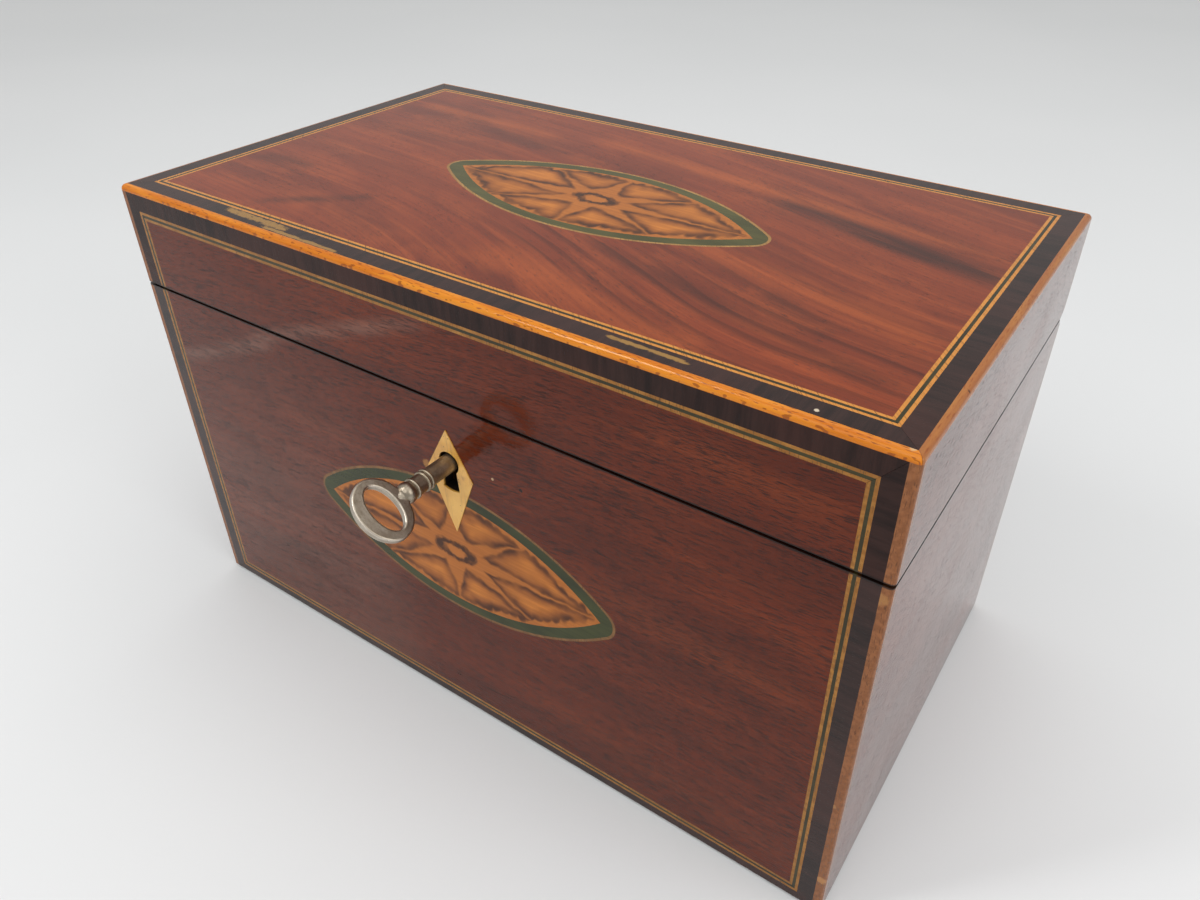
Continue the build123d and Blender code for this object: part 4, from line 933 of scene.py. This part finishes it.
for side, centre, high in (("top", TOP_PATERA, "y"), ("front", FRONT_PATERA, "z")):
    field = satinwood(f"{side}_patera_field", centre, high)
    by_node[f"{side}_patera_ground"] = field
    by_node[f"{side}_patera_petals"] = field
    by_node[f"{side}_patera_rosette"] = rosette(f"{side}_rosette", centre, high)

for entry in frame["record"]["subparts"]:
    node = entry["node"]
    material = by_node.get(node) or by_slot[entry["material_slot"]]
    for place in frame["nodes"][node].material_slots:
        place.material = material

# Baize under the base: one cut of cloth, glued flat, with a soft wandering edge. Sizes are in
# metres, and ripples and wanders in steps of noise to the metre.

BAIZE_FLAT = (0.188, 0.107)
BAIZE_COLUMNS = 94
BAIZE_ROWS = 54
BAIZE_THICKNESS = 0.0008
BAIZE_EDGE_WANDER = 0.0004
BAIZE_LIFT = 0.00008
RIPPLES = 400
WANDERS = 300


def baize_sheet():
    """A closed thin mesh whose faces ripple slightly and whose cut edge wanders."""
    width, depth = BAIZE_FLAT
    columns, rows = BAIZE_COLUMNS + 1, BAIZE_ROWS + 1
    points = []
    for is_top in (False, True):
        for row in range(rows):
            for column in range(columns):
                x = width * (column / BAIZE_COLUMNS - 0.5)
                y = depth * (row / BAIZE_ROWS - 0.5)
                ripple = noise.noise(Vector((x * RIPPLES, y * RIPPLES, 2.0 + is_top)))
                drift = noise.noise(Vector((x * WANDERS, y * WANDERS, 5.0)))
                wander = BAIZE_EDGE_WANDER * (1 + drift) / 2
                if column in (0, BAIZE_COLUMNS):
                    x -= math.copysign(wander, x)
                if row in (0, BAIZE_ROWS):
                    y -= math.copysign(wander, y)
                rim = column in (0, BAIZE_COLUMNS) or row in (0, BAIZE_ROWS)
                base = BAIZE_THICKNESS if is_top else BAIZE_LIFT * (1 + ripple + 2 * rim)
                points.append((x, y, base))
    layer = columns * rows
    faces = []
    for row in range(BAIZE_ROWS):
        for column in range(BAIZE_COLUMNS):
            corner = row * columns + column
            square = (corner, corner + 1, corner + columns + 1, corner + columns)
            faces.append(square[::-1])
            faces.append(tuple(layer + index for index in square))
    border = list(range(BAIZE_COLUMNS))
    border += [row * columns + BAIZE_COLUMNS for row in range(BAIZE_ROWS)]
    border += [BAIZE_ROWS * columns + column for column in range(BAIZE_COLUMNS, 0, -1)]
    border += [row * columns for row in range(BAIZE_ROWS, 0, -1)]
    for index, start in enumerate(border):
        end = border[(index + 1) % len(border)]
        faces.append((start, end, end + layer, start + layer))
    mesh = bpy.data.meshes.new("baize_underlay")
    mesh.from_pydata(points, [], faces)
    mesh.shade_smooth()
    return mesh


baize = bpy.data.objects.new("baize_underlay", baize_sheet())
bpy.context.scene.collection.objects.link(baize)
baize.data.materials.append(by_slot["baize"])
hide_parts("base_baize")
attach(baize, "case")

# Floor, light and camera

FLOOR_RADIUS = 4.0
FLOOR_SIDES = 96
FLOOR_TONE = srgb(228, 229, 230)
FLOOR_SHADE = srgb(218, 220, 221)
HORIZON_TONE = (0.42, 0.42, 0.415, 1.0)
ZENITH_TONE = (0.74, 0.74, 0.73, 1.0)
BACKDROP_TONE = srgb(190, 191, 191)


def floor_material():
    """Matt pale board, a little uneven."""
    shader = Shader("pale_floor")
    cloud = shader.noise(shader.place, (0.004, 0.004, 0.004), detail=2.0)
    tooth = shader.noise(shader.place, (0.8, 0.8, 0.8), detail=2.0)
    colour = shader.mix(shader.ramp(cloud, 0.3, 0.7, 0.0, 0.25), FLOOR_TONE, FLOOR_SHADE)
    return shader.finish(
        base_color=colour, roughness=0.75, normal=shader.bump(tooth, 0.02),
        specular_ior_level=0.2,
    )


angles = [math.tau * step / FLOOR_SIDES for step in range(FLOOR_SIDES)]
rim = [(FLOOR_RADIUS * math.cos(angle), FLOOR_RADIUS * math.sin(angle), 0) for angle in angles]
floor_mesh = bpy.data.meshes.new("floor")
floor_mesh.from_pydata(rim, [], [tuple(range(FLOOR_SIDES))])
floor = bpy.data.objects.new("floor", floor_mesh)
floor.data.materials.append(floor_material())
bpy.context.scene.collection.objects.link(floor)

# The sky is brighter at the zenith than at the horizon. The camera sees an even backdrop instead.
world = bpy.data.worlds.new("studio")
world.use_nodes = True
sky = world.node_tree
height = sky.nodes.new("ShaderNodeSeparateXYZ")
fade = sky.nodes.new("ShaderNodeMix")
fade.data_type = "RGBA"
sky.links.new(sky.nodes.new("ShaderNodeTexCoord").outputs["Generated"], height.inputs[0])
sky.links.new(height.outputs["Z"], fade.inputs[0])
fade.inputs[6].default_value = HORIZON_TONE
fade.inputs[7].default_value = ZENITH_TONE
seen = sky.nodes.new("ShaderNodeMix")
seen.data_type = "RGBA"
sky.links.new(sky.nodes.new("ShaderNodeLightPath").outputs["Is Camera Ray"], seen.inputs[0])
sky.links.new(fade.outputs[2], seen.inputs[6])
seen.inputs[7].default_value = BACKDROP_TONE
sky.links.new(seen.outputs[2], sky.nodes["Background"].inputs["Color"])
bpy.context.scene.world = world

# Each lamp's name, place, aim, size in metres and power in watts
LAMPS = (
    ("strip_softbox", (-0.34, -0.46, 0.66), (0.0, -0.02, 0.08), (0.1, 0.42), 1.4),
    ("front_softbox", (0.08, -0.65, 0.7), (0.0, 0.0, 0.06), (0.6, 0.6), 1.35),
    ("right_softbox", (0.85, -0.05, 0.6), (0.0, 0.0, 0.05), (0.7, 0.7), 2.9),
    ("top_softbox", (0.1, 0.15, 1.0), (0.0, 0.0, 0.1), (0.9, 0.7), 1.75),
)
for name, place, aim, size, power in LAMPS:
    light = bpy.data.lights.new(name, "AREA")
    light.shape = "RECTANGLE"
    light.size, light.size_y = size
    light.energy = power
    lamp = bpy.data.objects.new(name, light)
    lamp.location = place
    lamp.rotation_euler = (Vector(aim) - Vector(place)).to_track_quat("-Z", "Y").to_euler()
    bpy.context.scene.collection.objects.link(lamp)

# The camera, as fitted to the corners of the box in the photograph
CAMERA_PLACE = Vector((0.118142, -0.164563, 0.194336))
CAMERA_AIM = Vector((0.044530, -0.054500, 0.103074))
CAMERA_ROLL = math.radians(0.292)
CAMERA_SENSOR = 36.0
CAMERA_LENS = 28.152
CAMERA_SHIFT = (-0.017221, -0.016135)
CAMERA_CLIP_START = 0.01

camera_data = bpy.data.cameras.new("camera")
camera_data.sensor_width = CAMERA_SENSOR
camera_data.lens = CAMERA_LENS
camera_data.shift_x, camera_data.shift_y = CAMERA_SHIFT
camera_data.clip_start = CAMERA_CLIP_START
camera = bpy.data.objects.new("camera", camera_data)
aimed = (CAMERA_AIM - CAMERA_PLACE).to_track_quat("-Z", "Y").to_matrix().to_4x4()
rolled = aimed @ Matrix.Rotation(CAMERA_ROLL, 4, "Z")
camera.matrix_world = Matrix.Translation(CAMERA_PLACE) @ rolled
bpy.context.scene.collection.objects.link(camera)
bpy.context.scene.camera = camera
bpy.context.scene.view_settings.view_transform = "Standard"
